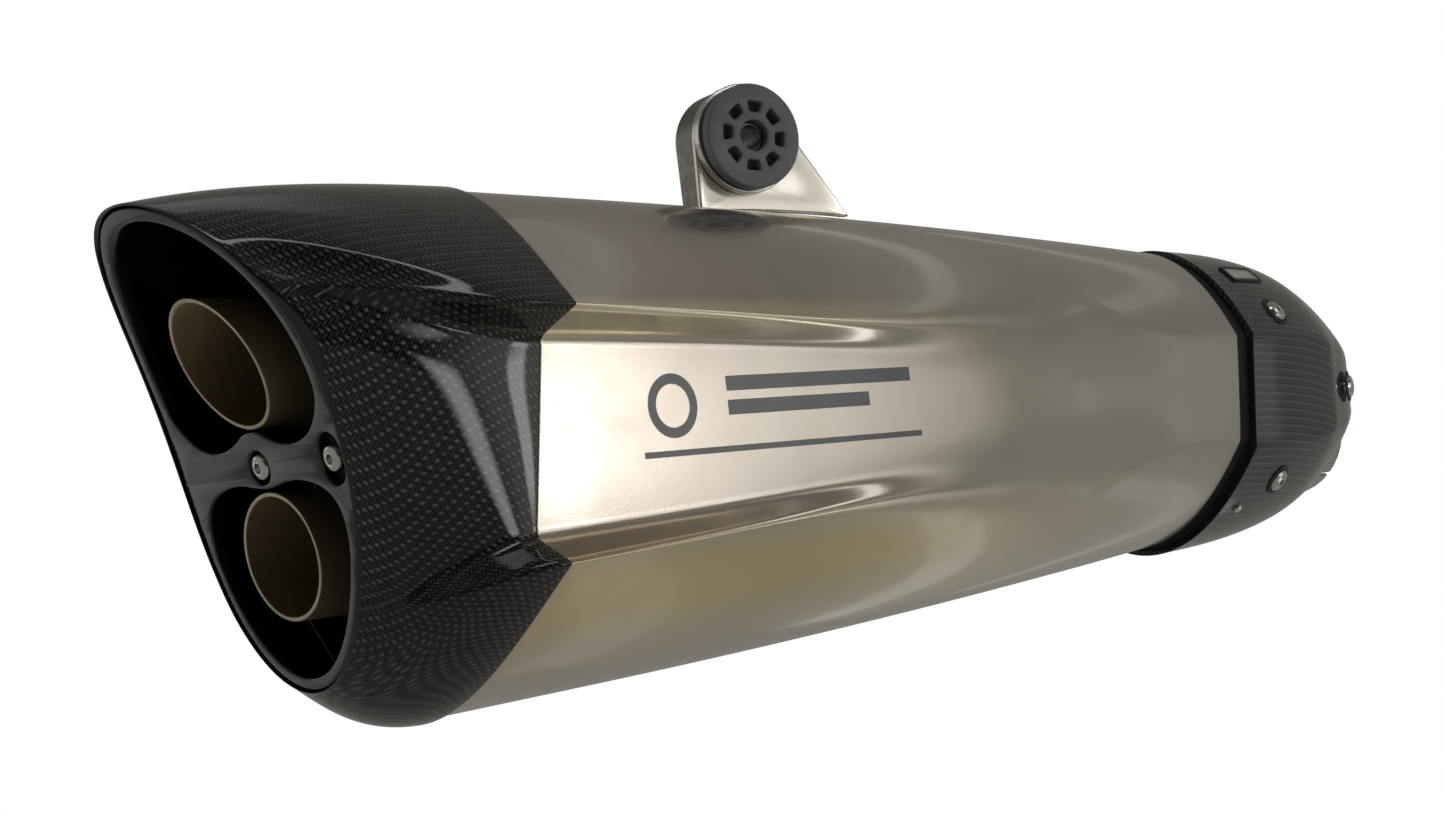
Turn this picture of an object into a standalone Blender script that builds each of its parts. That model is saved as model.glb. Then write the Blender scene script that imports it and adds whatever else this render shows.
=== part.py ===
"""Twin-outlet slip-on silencer for a racing exhaust system, built from its separate pieces.

Metres, +Z up. The silencer's axis runs along X: the outlet end faces -X and the inlet end +X.
The outer side, with the name panel, faces -Y, and the hanger bracket stands on top.
The pieces are laid out in body coordinates, whose zero is on the silencer's axis at its rear seam.
One empty then carries them all, so that the world's origin is the centre of the hanger damper's face.
"""

import math

import bmesh
import bpy
from mathutils import Vector

# --- Driving dimensions, in body coordinates -------------------------------------------------
GAP = 0.0003  # clearance between pieces that touch on the real silencer

SLEEVE_LENGTH = 0.371
SLEEVE_WALL = 0.0012
SLEEVE_START = -0.0014
REAR_RAKE = 0.145  # how far the rear seam leans: x moves this much for each metre of height
FRONT_RAKE = 0.142
RIDGE_END = 0.200  # the ridges beside the name panel die out here
FLAT_START = 0.245  # from here the flat facet of the inlet end starts to form
FLAT_FULL = 0.290
PANEL_DEPTH = 0.014  # how far the name panel lies inside its ridges at the rear seam
PANEL_DROP = 0.0065
SIDE_BULGE = 0.0012

CAP_WALL = 0.0022
CAP_PROUD = 0.0012  # the carbon end cap stands this much proud of the sleeve
RIM_WALL = 0.0010  # the cap thins down to this at its mouth
OPENING_WIDTH = 0.040  # half width of the end cap's opening
OPENING_CENTRE = 0.008
OPENING_UP = 0.059
OPENING_DOWN = 0.070

TUBE_RADIUS = 0.0175
TUBE_WALL = 0.0012
TUBE_INNER_END = 0.110
UPPER_TUBE = {"z": 0.0265, "x": -0.0629, "slope": -0.516}
LOWER_TUBE = {"z": -0.0253, "x": -0.0490, "slope": -0.152}

COVER_WALL = 0.0020
COVER_START = 0.380
COVER_CENTRE = -0.0015
BAND_WALL = 0.0022  # the black seam band
BAND_INSET = 0.0040  # and how deep it lies under the sleeve's skin

INLET_Z = -0.020
INLET_RADIUS = 0.030
INLET_WALL = 0.0015
CONE_END = 0.462
PIPE_END = 0.495

CORE_RADIUS = 0.027
HANGER = Vector((0.1437, -0.0077, 0.0979))  # centre of the damper's outer face
HANGER_TURN = math.radians(16)  # the bracket follows the motorcycle, not the silencer

# Each station: x, half height at the crown, half width and half height at the side corner.
SLEEVE_STATIONS = (
    (0.000, 0.0750, 0.0665, 0.0337),
    (0.100, 0.0736, 0.0640, 0.0293),
    (0.200, 0.0707, 0.0605, 0.0255),
    (0.310, 0.0659, 0.0533, 0.0218),
    (0.371, 0.0624, 0.0501, 0.0214),
)
COVER_STATIONS = (
    (0.380, 0.0648, 0.0520, 0.0235),
    (0.420, 0.0633, 0.0512, 0.0225),
    (0.453, 0.0590, 0.0495, 0.0200),
    (0.475, 0.0528, 0.0450, 0.0175),
    (0.492, 0.0435, 0.0370, 0.0140),
)
# The places along the sleeve at which its section is drawn.
SKIN_STATIONS = (SLEEVE_START, 0.045, 0.100, 0.155, 0.200, 0.238, 0.262, 0.280, 0.300, 0.325, SLEEVE_LENGTH)
# Where the crown's curve ends and the side begins: x and its height. Towards the inlet it is a crease.
CREASE_STATIONS = (
    (0.000, 0.0407),
    (0.100, 0.0370),
    (0.200, 0.0362),
    (0.245, 0.0365),
    (0.262, 0.0362),
    (0.272, 0.0352),
    (0.290, 0.0285),
    (0.310, 0.0222),
    (0.371, 0.0214),
)
# Half width of the sleeve at mid height, where no panel is pressed in.
MIDDLE_STATIONS = (
    (0.000, 0.0677),
    (0.100, 0.0652),
    (0.200, 0.0617),
    (0.235, 0.0597),
    (0.272, 0.0566),
    (0.310, 0.0535),
    (0.371, 0.0503),
)

CROWN_STEPS = 5  # outline steps from the crown to the crease
FLANK_STEPS = 2  # and from the crease to the side corner
PANEL_STEPS = 2  # and from the panel's corner to its middle


# --- Small helpers ---------------------------------------------------------------------------
def lerp(a, b, t):
    return a + (b - a) * t


def clamp01(t):
    return min(max(t, 0.0), 1.0)


def smoothstep(a, b, x):
    t = clamp01((x - a) / (b - a))
    return t * t * (3 - 2 * t)


def along(stations, x, column):
    """The column's value at x on a smooth curve through the stations."""
    if x <= stations[0][0]:
        return stations[0][column]
    if x >= stations[-1][0]:
        return stations[-1][column]
    i = max(k for k, row in enumerate(stations[:-1]) if row[0] <= x)

    def slope(k):
        low, high = stations[max(k - 1, 0)], stations[min(k + 1, len(stations) - 1)]
        return (high[column] - low[column]) / (high[0] - low[0])

    (x0, y0), (x1, y1) = ((stations[k][0], stations[k][column]) for k in (i, i + 1))
    w, t = x1 - x0, (x - x0) / (x1 - x0)
    return (
        y0 * (1 + 2 * t) * (1 - t) ** 2
        + slope(i) * w * t * (1 - t) ** 2
        + y1 * t * t * (3 - 2 * t)
        + slope(i + 1) * w * t * t * (t - 1)
    )


def material(name, colour, roughness, metallic=0.0, coat=0.0):
    made = bpy.data.materials.new(name)
    made.use_nodes = True
    shader = made.node_tree.nodes["Principled BSDF"]
    shader.inputs["Base Color"].default_value = (*colour, 1)
    shader.inputs["Roughness"].default_value = roughness
    shader.inputs["Metallic"].default_value = metallic
    shader.inputs["Coat Weight"].default_value = coat
    return made


def add_object(name, mesh, finish, smooth=35):
    made = bpy.data.objects.new(name, mesh)
    bpy.context.scene.collection.objects.link(made)
    mesh.materials.append(finish)
    mesh.shade_smooth()
    mesh.set_sharp_from_angle(angle=math.radians(smooth))
    made.parent = bpy.data.objects["exhaust_frame"]
    return made


def mesh_object(name, points, faces, finish, smooth=35):
    mesh = bpy.data.meshes.new(name)
    mesh.from_pydata([tuple(p) for p in points], [], faces)
    mesh.validate()
    shaped = bmesh.new()
    shaped.from_mesh(mesh)
    bmesh.ops.recalc_face_normals(shaped, faces=shaped.faces)
    shaped.to_mesh(mesh)
    shaped.free()
    return add_object(name, mesh, finish, smooth)


def skin(name, rings, finish, joined=False, smooth=35):
    """A solid through rings of equal counts. Its ends are capped, or its last ring meets its first."""
    count = len(rings[0])
    points = [p for ring in rings for p in ring]
    spans = [(i, i + 1) for i in range(len(rings) - 1)]
    if joined:
        spans.append((len(rings) - 1, 0))
    faces = [
        (a * count + k, a * count + (k + 1) % count, b * count + (k + 1) % count, b * count + k)
        for a, b in spans
        for k in range(count)
    ]
    if not joined:
        faces.append(tuple(range(count)))
        faces.append(tuple((len(rings) - 1) * count + k for k in range(count)))
    return mesh_object(name, points, faces, finish, smooth)


def circle(centre, radius, sides, across=Vector((0, 1, 0)), up=Vector((0, 0, 1))):
    turns = [2 * math.pi * k / sides for k in range(sides)]
    return [centre + across * (radius * math.sin(a)) + up * (radius * math.cos(a)) for a in turns]


def turned(name, profile, finish, centre, axis, sides=24, joined=False):
    """A turned solid: profile rows are (distance along the axis, radius)."""
    axis = axis.normalized()
    across = axis.orthogonal().normalized()
    up = axis.cross(across)
    rings = [circle(centre + axis * d, r, sides, across, up) for d, r in profile]
    return skin(name, rings, finish, joined)


def cutter(name, rings):
    made = skin(name, rings, bpy.data.materials["steel"])
    made.hide_render = True
    made.display_type = "WIRE"
    return made


def cut(target, *cutters):
    for tool in cutters:
        step = target.modifiers.new("cut_" + tool.name, "BOOLEAN")
        step.operation = "DIFFERENCE"
        step.solver = "EXACT"
        step.object = tool


def offset(outline, distance):
    """The closed (y, z) outline moved outwards by distance, or inwards if it is negative."""
    area = sum(a[0] * b[1] - b[0] * a[1] for a, b in zip(outline, outline[1:] + outline[:1]))
    turn = 1 if area > 0 else -1
    moved = []
    for i, (y, z) in enumerate(outline):
        before, after = outline[i - 1], outline[(i + 1) % len(outline)]
        normals = []
        for (ay, az), (by, bz) in ((before, (y, z)), ((y, z), after)):
            length = math.hypot(by - ay, bz - az)
            normals.append(((bz - az) / length * turn, (ay - by) / length * turn))
        (ny, nz), (my, mz) = normals
        share = max(1 + ny * my + nz * mz, 0.5)
        moved.append((y + distance * (ny + my) / share, z + distance * (nz + mz) / share))
    return moved


def mirrored(quadrant):
    """A closed outline from the points of one quadrant, which run from the crown to the side's middle."""
    near_up = [(-y, z) for y, z in quadrant]
    near_down = [(-y, -z) for y, z in reversed(quadrant[:-1])]
    far_down = [(y, -z) for y, z in quadrant[1:]]
    far_up = [(y, z) for y, z in reversed(quadrant[1:-1])]
    return near_up + near_down + far_down + far_up


# --- The sleeve's section --------------------------------------------------------------------
def section_bend(x):
    return lerp(-0.25, 0.136, clamp01(x / SLEEVE_LENGTH))


def flank_share(depth, x):
    """How far out the flank has come, from 0 at the crown to 1 at the corner, at a share of its drop."""
    bend = section_bend(x)
    if abs(bend) < 1e-4:
        return math.sqrt(depth)
    root = math.sqrt(max((1 - bend) ** 2 + 4 * bend * depth, 0))
    return math.sqrt(max((root - (1 - bend)) / (2 * bend), 0))


def side_width(stations, x, z):
    """Half width of the plain barrel at height z: the flank above the corner and a slight bulge below it."""
    half, corner_y, corner_z = (along(stations, x, c) for c in (1, 2, 3))
    if z >= corner_z:
        return corner_y * flank_share((half - z) / (half - corner_z), min(x, SLEEVE_LENGTH))
    return corner_y + SIDE_BULGE * (1 - (z / corner_z) ** 2)


def crown_height(x, y):
    """Height of the plain barrel's skin at half width y."""
    half, corner_y, corner_z = (along(SLEEVE_STATIONS, x, c) for c in (1, 2, 3))
    t, bend = abs(y) / corner_y, section_bend(x)
    return half - (half - corner_z) * ((1 - bend) * t * t + bend * t**4)


def rounded_width(x, z):
    """Half width of a side that leaves the crease smoothly, or with an edge towards the inlet."""
    crease = along(CREASE_STATIONS, x, 1)
    edge = side_width(SLEEVE_STATIONS, x, crease)
    bulge = along(MIDDLE_STATIONS, x, 1) - edge
    step = 0.0005
    slope = (edge - side_width(SLEEVE_STATIONS, x, crease + step)) / step
    power = lerp(slope * crease / bulge, 2.0, smoothstep(FLAT_START, FLAT_FULL, x))
    return edge + bulge * (1 - min(z / crease, 1.0) ** power)


def sleeve_width(x, z):
    """Half width below the crease: a sharp ridge at the rear becomes a rounded side further on."""
    return lerp(side_width(SLEEVE_STATIONS, x, z), rounded_width(x, z), smoothstep(0.05, RIDGE_END, x))


def sleeve_quadrant(x):
    corner_y, corner_z = (along(SLEEVE_STATIONS, x, c) for c in (2, 3))
    crease = along(CREASE_STATIONS, x, 1)
    reach = side_width(SLEEVE_STATIONS, x, crease)
    points = []
    for i in range(CROWN_STEPS + 1):
        y = reach * i / CROWN_STEPS
        points.append((y, crown_height(x, y)))
    ridge_z = lerp(corner_z, crease * 0.72, smoothstep(0.05, RIDGE_END, x))
    for i in range(1, FLANK_STEPS + 1):
        z = lerp(crease, ridge_z, i / FLANK_STEPS)
        points.append((sleeve_width(x, z), z))
    inside = (1 - clamp01(x / RIDGE_END)) ** 1.15
    for i in range(PANEL_STEPS + 1):
        z = (ridge_z - PANEL_DROP) * (1 - i / PANEL_STEPS)
        points.append((lerp(sleeve_width(x, z), corner_y - PANEL_DEPTH, inside), z))
    return points


def sleeve_outline(x, grow=0.0):
    return offset(mirrored(sleeve_quadrant(x)), grow)


def sleeve_ring(x, grow=0.0, shift=0.0):
    rake = lerp(REAR_RAKE, FRONT_RAKE, x / SLEEVE_LENGTH)
    return [Vector((x + shift + rake * z, y, z)) for y, z in sleeve_outline(x, grow)]


# --- The pieces of the can -------------------------------------------------------------------
def make_sleeve(titanium):
    outer = [sleeve_ring(x) for x in SKIN_STATIONS]
    inner = [sleeve_ring(x, -SLEEVE_WALL) for x in reversed(SKIN_STATIONS)]
    skin("outer_sleeve", outer + inner, titanium, joined=True)


def make_plate(name, x, thickness, finish, holes):
    """A plate across the sleeve, with round holes given as (z, radius)."""
    inset = -SLEEVE_WALL - GAP
    plate = skin(name, [sleeve_ring(x, inset), sleeve_ring(x, inset, thickness)], finish)
    for number, (z, radius) in enumerate(holes):
        reach = 0.02
        ends = [Vector((x + side * reach + REAR_RAKE * z, 0, z)) for side in (-1, 1)]
        cut(plate, cutter(f"{name}_hole_{number}", [circle(end, radius, 24) for end in ends]))
    return plate


def make_tube(name, place, steel):
    """An outlet tube: its outer end is cut on the slant of the opening."""
    rings = []
    for radius, inner in ((TUBE_RADIUS, False), (TUBE_RADIUS - TUBE_WALL, True)):
        centre = Vector((0, 0, place["z"]))
        outer_end = [
            Vector((place["x"] + place["slope"] * (p.z - place["z"]), p.y, p.z))
            for p in circle(centre, radius, 32)
        ]
        inner_end = circle(centre + Vector((TUBE_INNER_END, 0, 0)), radius, 32)
        rings += [inner_end, outer_end] if inner else [outer_end, inner_end]
    skin(name, rings, steel, joined=True)


def make_core(steel):
    """The perforated core that carries the gas through the packing."""
    start, end, sides = 0.126, 0.352, 24
    ends = [Vector((x, 0, 0)) for x in (start, end)]
    rings = [circle(e, CORE_RADIUS, sides) for e in ends]
    rings += [circle(e, CORE_RADIUS - 0.0012, sides) for e in reversed(ends)]
    core = skin("perforated_core", rings, steel, joined=True)
    for row in range(7):
        x = start + 0.022 + row * 0.030
        turn = math.pi / 4 * (row % 2)
        for k in range(2):
            angle = turn + k * math.pi / 2
            along_hole = Vector((0, math.cos(angle), math.sin(angle)))
            sideways = Vector((0, -math.sin(angle), math.cos(angle)))
            ends = [Vector((x, 0, 0)) + along_hole * (0.04 * s) for s in (-1, 1)]
            tool = [circle(e, 0.005, 6, Vector((1, 0, 0)), sideways) for e in ends]
            cut(core, cutter(f"core_hole_{row}_{k}", tool))


def make_packing(name, start, end, wool):
    """Acoustic wool between the core and the sleeve."""
    stations = [start, *(x for x in SKIN_STATIONS if start < x < end), end]
    outer = [sleeve_ring(x, -SLEEVE_WALL - 0.0025) for x in stations]
    inner = [
        [Vector((p.x, *(Vector((p.y, p.z)).normalized() * (CORE_RADIUS + 0.0014)))) for p in ring]
        for ring in reversed(outer)
    ]
    skin(name, outer + inner, wool, joined=True)


# --- Outlet end ------------------------------------------------------------------------------
def rim_x(z):
    """Where the slanted, slightly curved mouth of the end cap lies at height z."""
    return -0.0545 - 0.2336 * z - 2.5 * z * z - 25.6 * z**3


def opening_point(angle, upper, grow=0.0):
    """A point of the egg-shaped opening, at angle from its top or its bottom towards the side."""
    power, reach = (2.8, OPENING_UP) if upper else (2.0, OPENING_DOWN)
    y = OPENING_WIDTH * math.sin(angle)
    z = reach * math.cos(angle) ** (2 / power)
    return (y + grow * math.sin(angle), z + grow * math.cos(angle))


def opening_outline(grow=0.0):
    """The opening as (y, z), point for point beside the sleeve's outline."""
    total = CROWN_STEPS + FLANK_STEPS + PANEL_STEPS + 1
    marks = {True: (45, 63.5, 67), False: (34, 46.5, 54)}
    half = {}
    for upper, (crease, ridge, panel) in marks.items():
        corners = (
            (0, 0.0),
            (CROWN_STEPS, crease),
            (CROWN_STEPS + FLANK_STEPS, ridge),
            (CROWN_STEPS + FLANK_STEPS + 1, panel),
            (total, 90.0),
        )
        points = []
        for k in range(total + 1):
            (k0, a0), (k1, a1) = next(p for p in zip(corners, corners[1:]) if p[0][0] <= k <= p[1][0])
            angle = math.radians(lerp(a0, a1, (k - k0) / (k1 - k0)))
            y, z = opening_point(angle, upper, grow)
            points.append((y, OPENING_CENTRE + (z if upper else -z)))
        half[upper] = points
    near_up = [(-y, z) for y, z in half[True]]
    near_down = [(-y, z) for y, z in reversed(half[False][:-1])]
    far_down = half[False][1:]
    far_up = list(reversed(half[True][1:-1]))
    return near_up + near_down + far_down + far_up


def seam_ring(grow):
    """The sleeve's rear outline, just behind its edge."""
    return [Vector((SLEEVE_START + REAR_RAKE * z - GAP, y, z)) for y, z in sleeve_outline(0.0, grow)]


def cap_paths():
    """For each outline point, the four handles of the curve from the seam to the mouth."""
    paths = []
    for start, (my, mz) in zip(seam_ring(CAP_PROUD), opening_outline(RIM_WALL)):
        end = Vector((rim_x(mz) + 0.0008, my, mz))
        length = start.x - end.x
        down = clamp01(-mz / (OPENING_DOWN - OPENING_CENTRE))
        rise = (mz - OPENING_CENTRE) / OPENING_UP
        outward = Vector((0, my, rise**3 * OPENING_UP)).normalized()
        lean = lerp(0.22, 0.75, down**2)
        start_pull = start + Vector((-0.42 * length, 0, 0))
        end_pull = end + (Vector((1, 0, 0)) + outward * lean) * (0.30 * length)
        paths.append((start, start_pull, end_pull, end))
    return paths


def bezier(handles, t):
    a, b, c, d = handles
    s = 1 - t
    return a * s**3 + b * (3 * s * s * t) + c * (3 * s * t * t) + d * t**3


def shell_inside(ring, depth):
    """The ring's points moved inwards by the wall."""
    outline = offset([(p.y, p.z) for p in ring], -depth)
    return [Vector((p.x, y, z)) for p, (y, z) in zip(ring, outline)]


def make_end_cap(carbon):
    paths = cap_paths()
    steps = (0.0, 0.17, 0.34, 0.51, 0.68, 0.84, 1.0)
    outer = [[bezier(path, t) for path in paths] for t in steps]
    lip = [Vector((rim_x(z), y, z)) for y, z in opening_outline(RIM_WALL / 2)]
    inner = [seam_ring(CAP_PROUD - CAP_WALL)] + [shell_inside(ring, CAP_WALL) for ring in outer[1:-1]]
    mouth = [Vector((rim_x(z) + 0.0006, y, z)) for y, z in opening_outline()]
    skin("end_cap", outer + [lip, mouth] + inner[::-1], carbon, joined=True)


def make_outlet_insert(black):
    """The black frame in the mouth: a rim, two windows and the web between them."""
    depth = 0.003
    set_back = 0.0008
    outline = opening_outline(-0.0006)
    front = [Vector((rim_x(z) + set_back, y, z)) for y, z in outline]
    back = [p + Vector((depth, 0, 0)) for p in front]
    count = len(outline)
    faces = [(k, (k + 1) % count, count + (k + 1) % count, count + k) for k in range(count)]
    for start in (0, count):
        # Each face of the bent plate is a ladder of flat strips from the near side to the far one.
        for k in range(count // 2):
            strip = (k, k + 1, count - k - 1, (count - k) % count)
            faces.append(tuple(start + i for i in dict.fromkeys(strip)))
    insert = mesh_object("outlet_insert", front + back, faces, black)
    for name, web_edge, side in (("upper", UPPER_WINDOW, 1), ("lower", LOWER_WINDOW, -1)):
        rim = [(-y, z) for y, z in opening_outline(-RIM_BAND) if y <= 0 and side * z > WINDOW_SIDE]
        rim.sort(key=lambda point: side * point[1])
        half = [*web_edge, *rim]
        shape = half + [(-y, z) for y, z in reversed(half[1:-1])]
        tool = [[Vector((x, y, z)) for y, z in shape] for x in (-0.12, 0.02)]
        cut(insert, cutter("window_" + name, tool))
    for side, y in SCREW_SIDES:
        face = Vector((rim_x(INSERT_SCREW_Z), y, INSERT_SCREW_Z))
        tool = [circle(face + INSERT_OUTWARD * d, 0.0029, 16) for d in (-0.02, 0.02)]
        cut(insert, cutter("insert_hole_" + side, tool))


RIM_BAND = 0.0036  # how wide the insert's rim is round its windows
WINDOW_SIDE = 0.020  # beyond this height a window follows the opening
# The window's edge along the web, from the middle to the side: (y, z).
UPPER_WINDOW = (
    (0, 0.0084), (0.004, 0.0080), (0.008, 0.0059), (0.014, 0.0042), (0.020, 0.0040),
    (0.0265, 0.0058), (0.032, 0.0105), (0.0355, 0.016),
)
LOWER_WINDOW = (
    (0, -0.0070), (0.004, -0.0067), (0.010, -0.0056), (0.017, -0.0055),
    (0.025, -0.0074), (0.030, -0.011), (0.0322, -0.016),
)
INSERT_SCREW_Z = -0.0012
INSERT_OUTWARD = Vector((-1, 0, -0.2336)).normalized()
SCREW_SIDES = (("near", -0.0335), ("middle", 0))


def make_screw(name, place, outward, steel, head=0.0046, shank=0.0024, length=0.009):
    """A button-head screw: a domed head with a hexagon socket, and its shank."""
    outward = outward.normalized()
    profile = [
        (-length, shank),
        (0.0, shank),
        (0.0, head),
        (0.0010, head),
        (0.0020, head * 0.86),
        (0.0026, head * 0.52),
    ]
    screw = turned(name, profile, steel, place, outward, sides=16)
    across = outward.orthogonal().normalized()
    up = outward.cross(across)
    socket = [circle(place + outward * d, 0.0015, 6, across, up) for d in (0.0009, 0.004)]
    cut(screw, cutter(name + "_socket", socket))


def make_insert_screws(steel):
    for side, y in SCREW_SIDES:
        face = Vector((rim_x(INSERT_SCREW_Z) + 0.0008, y, INSERT_SCREW_Z))
        make_screw("insert_screw_" + side, face + INSERT_OUTWARD * 0.0006, INSERT_OUTWARD, steel, head=0.0038)


# --- Inlet end -------------------------------------------------------------------------------
def cover_quadrant(x):
    half, corner_y, corner_z = (along(COVER_STATIONS, x, c) for c in (1, 2, 3))
    points = []
    for i in range(CROWN_STEPS + 1):
        t = i / CROWN_STEPS
        points.append((corner_y * t, half - (half - corner_z) * (0.864 * t * t + 0.136 * t**4)))
    below = FLANK_STEPS + PANEL_STEPS + 1
    for i in range(1, below + 1):
        points.append((corner_y, corner_z * (1 - i / below)))
    return points


def cover_ring(x, grow=0.0):
    lean = lerp(FRONT_RAKE, 0.0, clamp01((x - COVER_START) / (COVER_STATIONS[-1][0] - COVER_START)))
    outline = offset(mirrored(cover_quadrant(x)), grow)
    return [Vector((x + lean * z, y, z + COVER_CENTRE)) for y, z in outline]


def make_cover(carbon):
    stations = (COVER_START, 0.405, 0.430, 0.453, 0.466, 0.480, 0.492)
    outer = [cover_ring(x) for x in stations]
    inner = [cover_ring(x, -COVER_WALL) for x in reversed(stations)]
    cover = skin("front_cover", outer + inner, carbon, joined=True)
    # The pipe leaves low down, so the cover's edge is scalloped to clear it.
    ends = [Vector((x, 0, INLET_Z)) for x in (CONE_END - 0.010, PIPE_END)]
    cut(cover, cutter("pipe_clearance", [circle(e, INLET_RADIUS + 0.0012, 32) for e in ends]))
    return cover


def make_seam_band(rubber):
    """The black band that fills the gap between the sleeve and the carbon cover."""
    width = COVER_START - SLEEVE_LENGTH - 2 * GAP
    outer = [sleeve_ring(SLEEVE_LENGTH, -BAND_INSET, GAP + d) for d in (0, width)]
    inner = [sleeve_ring(SLEEVE_LENGTH, -BAND_INSET - BAND_WALL, GAP + d) for d in (width, 0)]
    skin("seam_band", outer + inner, rubber, joined=True)


CONE_COLLAR = 0.014  # the cone's straight part, just inside the sleeve's end
COLLAR_SHARE = 0.18


def cone_point(start, t):
    """The cone's skin, from a point of the sleeve's end at t = 0 to the pipe at t = 1."""
    if t <= COLLAR_SHARE:
        return Vector((start.x + CONE_COLLAR * t / COLLAR_SHARE, start.y, start.z))
    angle = math.atan2(start.y, start.z)
    share = (t - COLLAR_SHARE) / (1 - COLLAR_SHARE)
    swing = smoothstep(0.0, 1.0, share)
    return Vector((
        lerp(start.x + CONE_COLLAR, CONE_END, share),
        lerp(start.y, INLET_RADIUS * math.sin(angle), swing),
        lerp(start.z, INLET_Z + INLET_RADIUS * math.cos(angle), swing),
    ))


def make_front_cone(titanium):
    """The metal cone under the carbon cover, from the sleeve's outline down to the inlet pipe."""
    start = sleeve_ring(SLEEVE_LENGTH, -BAND_INSET - BAND_WALL - GAP, 0.0008)
    outer = [[cone_point(p, t) for p in start] for t in (0.0, COLLAR_SHARE, 0.45, 0.75, 1.0)]
    inner = [shell_inside(ring, INLET_WALL) for ring in outer]
    skin("front_cone", outer + inner[::-1], titanium, joined=True)


def make_inlet_pipe(titanium):
    ends = [Vector((x, 0, INLET_Z)) for x in (CONE_END + GAP, PIPE_END)]
    rings = [circle(e, INLET_RADIUS, 40) for e in ends]
    rings += [circle(e, INLET_RADIUS - INLET_WALL, 40) for e in reversed(ends)]
    pipe = skin("inlet_pipe", rings, titanium, joined=True)
    for k in range(2):
        angle = math.pi / 4 + k * math.pi / 2
        side = Vector((0, math.cos(angle), math.sin(angle)))
        wide = Vector((0, -math.sin(angle), math.cos(angle)))
        middle = Vector((PIPE_END - 0.006, 0, INLET_Z))
        ends = [middle + side * (0.05 * s) for s in (-1, 1)]
        corners = ((-0.014, -0.001), (0.014, -0.001), (0.014, 0.001), (-0.014, 0.001))
        tool = [[e + Vector((dx, 0, 0)) + wide * dw for dx, dw in corners] for e in ends]
        cut(pipe, cutter(f"pipe_slot_{k}", tool))


def on_cover(x, z, side):
    """A point of the cover's outer face and its outward normal, on the near (-1) or far (1) side."""

    def at(px, pz):
        half, corner_y, corner_z = (along(COVER_STATIONS, px, c) for c in (1, 2, 3))
        drop = abs(pz)
        if drop <= corner_z:
            y = corner_y
        else:
            depth = clamp01((half - drop) / (half - corner_z))
            y = corner_y * flank_share(depth, SLEEVE_LENGTH)
        return Vector((px, side * y, pz))

    step = 0.0008
    place = at(x, z)
    normal = (at(x + step, z) - at(x - step, z)).cross(at(x, z + step) - at(x, z - step))
    if normal.y * side < 0:
        normal.negate()
    lean = lerp(FRONT_RAKE, 0.0, clamp01((x - COVER_START) / (COVER_STATIONS[-1][0] - COVER_START)))
    return place + Vector((lean * z, 0, COVER_CENTRE)), normal.normalized()


COVER_SCREWS = (("upper", 0.4125, 0.0328), ("lower", 0.4135, -0.0380), ("nose", 0.4760, -0.0010))
COVER_RIVET = (0.3925, -0.0475)
BADGE_PLACE = (0.412, 0.0505)


def make_cover_screws(cover, steel):
    for side_name, side in (("near", -1), ("far", 1)):
        for name, x, z in COVER_SCREWS:
            place, outward = on_cover(x, z, side)
            across = outward.orthogonal().normalized()
            up = outward.cross(across)
            hole = [circle(place + outward * d, 0.0028, 16, across, up) for d in (-0.008, 0.008)]
            cut(cover, cutter(f"cover_hole_{side_name}_{name}", hole))
            screw = f"cover_screw_{side_name}_{name}"
            make_screw(screw, place + outward * 0.0005, outward, steel, head=0.0050, length=0.007)
        place, outward = on_cover(*COVER_RIVET, side)
        profile = [(0, 0.0020), (0.0007, 0.0018), (0.0011, 0.0010)]
        turned(f"cover_rivet_{side_name}", profile, steel, place + outward * 0.0005, outward, sides=12)


def make_badge(plain):
    """A small blank plate on the cover's near flank."""
    place, outward = on_cover(*BADGE_PLACE, -1)
    forward = Vector((1, 0, 0))
    forward = (forward - outward * forward.dot(outward)).normalized()
    up = outward.cross(forward)
    corners = ((-0.013, -0.0035), (0.013, -0.0035), (0.013, 0.0035), (-0.013, 0.0035))
    rings = [[place + outward * d + forward * a + up * b for a, b in corners] for d in (0.0010, 0.0018)]
    skin("name_badge", rings, plain)


# --- Hanger ----------------------------------------------------------------------------------
ALONG = Vector((math.cos(HANGER_TURN), -math.sin(HANGER_TURN), 0))
OUT = Vector((-math.sin(HANGER_TURN), -math.cos(HANGER_TURN), 0))
UP = Vector((0, 0, 1))
PLATE_BACK = 0.0085  # from the damper's face to the plate's outer face
PLATE_THICK = 0.0025
HEAD_RADIUS = 0.0184
FLANGE_LOW, FLANGE_HIGH = 0.0100, 0.0114  # how deep the return flange is at the base and at the head
BASE_LEFT, BASE_RIGHT = -0.0184, 0.0405


def hanger_point(s, height, back):
    """A point by its distance along the plate, its height over the damper's centre and how far back it is."""
    return HANGER + ALONG * s + UP * height - OUT * back


def base_height(s, back):
    """How high over the damper's centre the sleeve's skin is, below a point of the plate."""
    p = hanger_point(s, 0, back)
    lean = lerp(REAR_RAKE, FRONT_RAKE, p.x / SLEEVE_LENGTH)
    station = p.x - lean * crown_height(p.x, p.y)
    return crown_height(station, p.y) + 2 * GAP - HANGER.z


def plate_outline(back):
    """The bracket's outline: a round head, a straight left edge, and a long right edge."""
    arc = [math.radians(a) for a in range(180, 49, -13)]
    head = [(HEAD_RADIUS * math.cos(a), HEAD_RADIUS * math.sin(a)) for a in arc]
    base = [lerp(BASE_RIGHT, BASE_LEFT, k / 6) for k in range(7)]
    return head + [(s, base_height(s, back)) for s in base]


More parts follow.
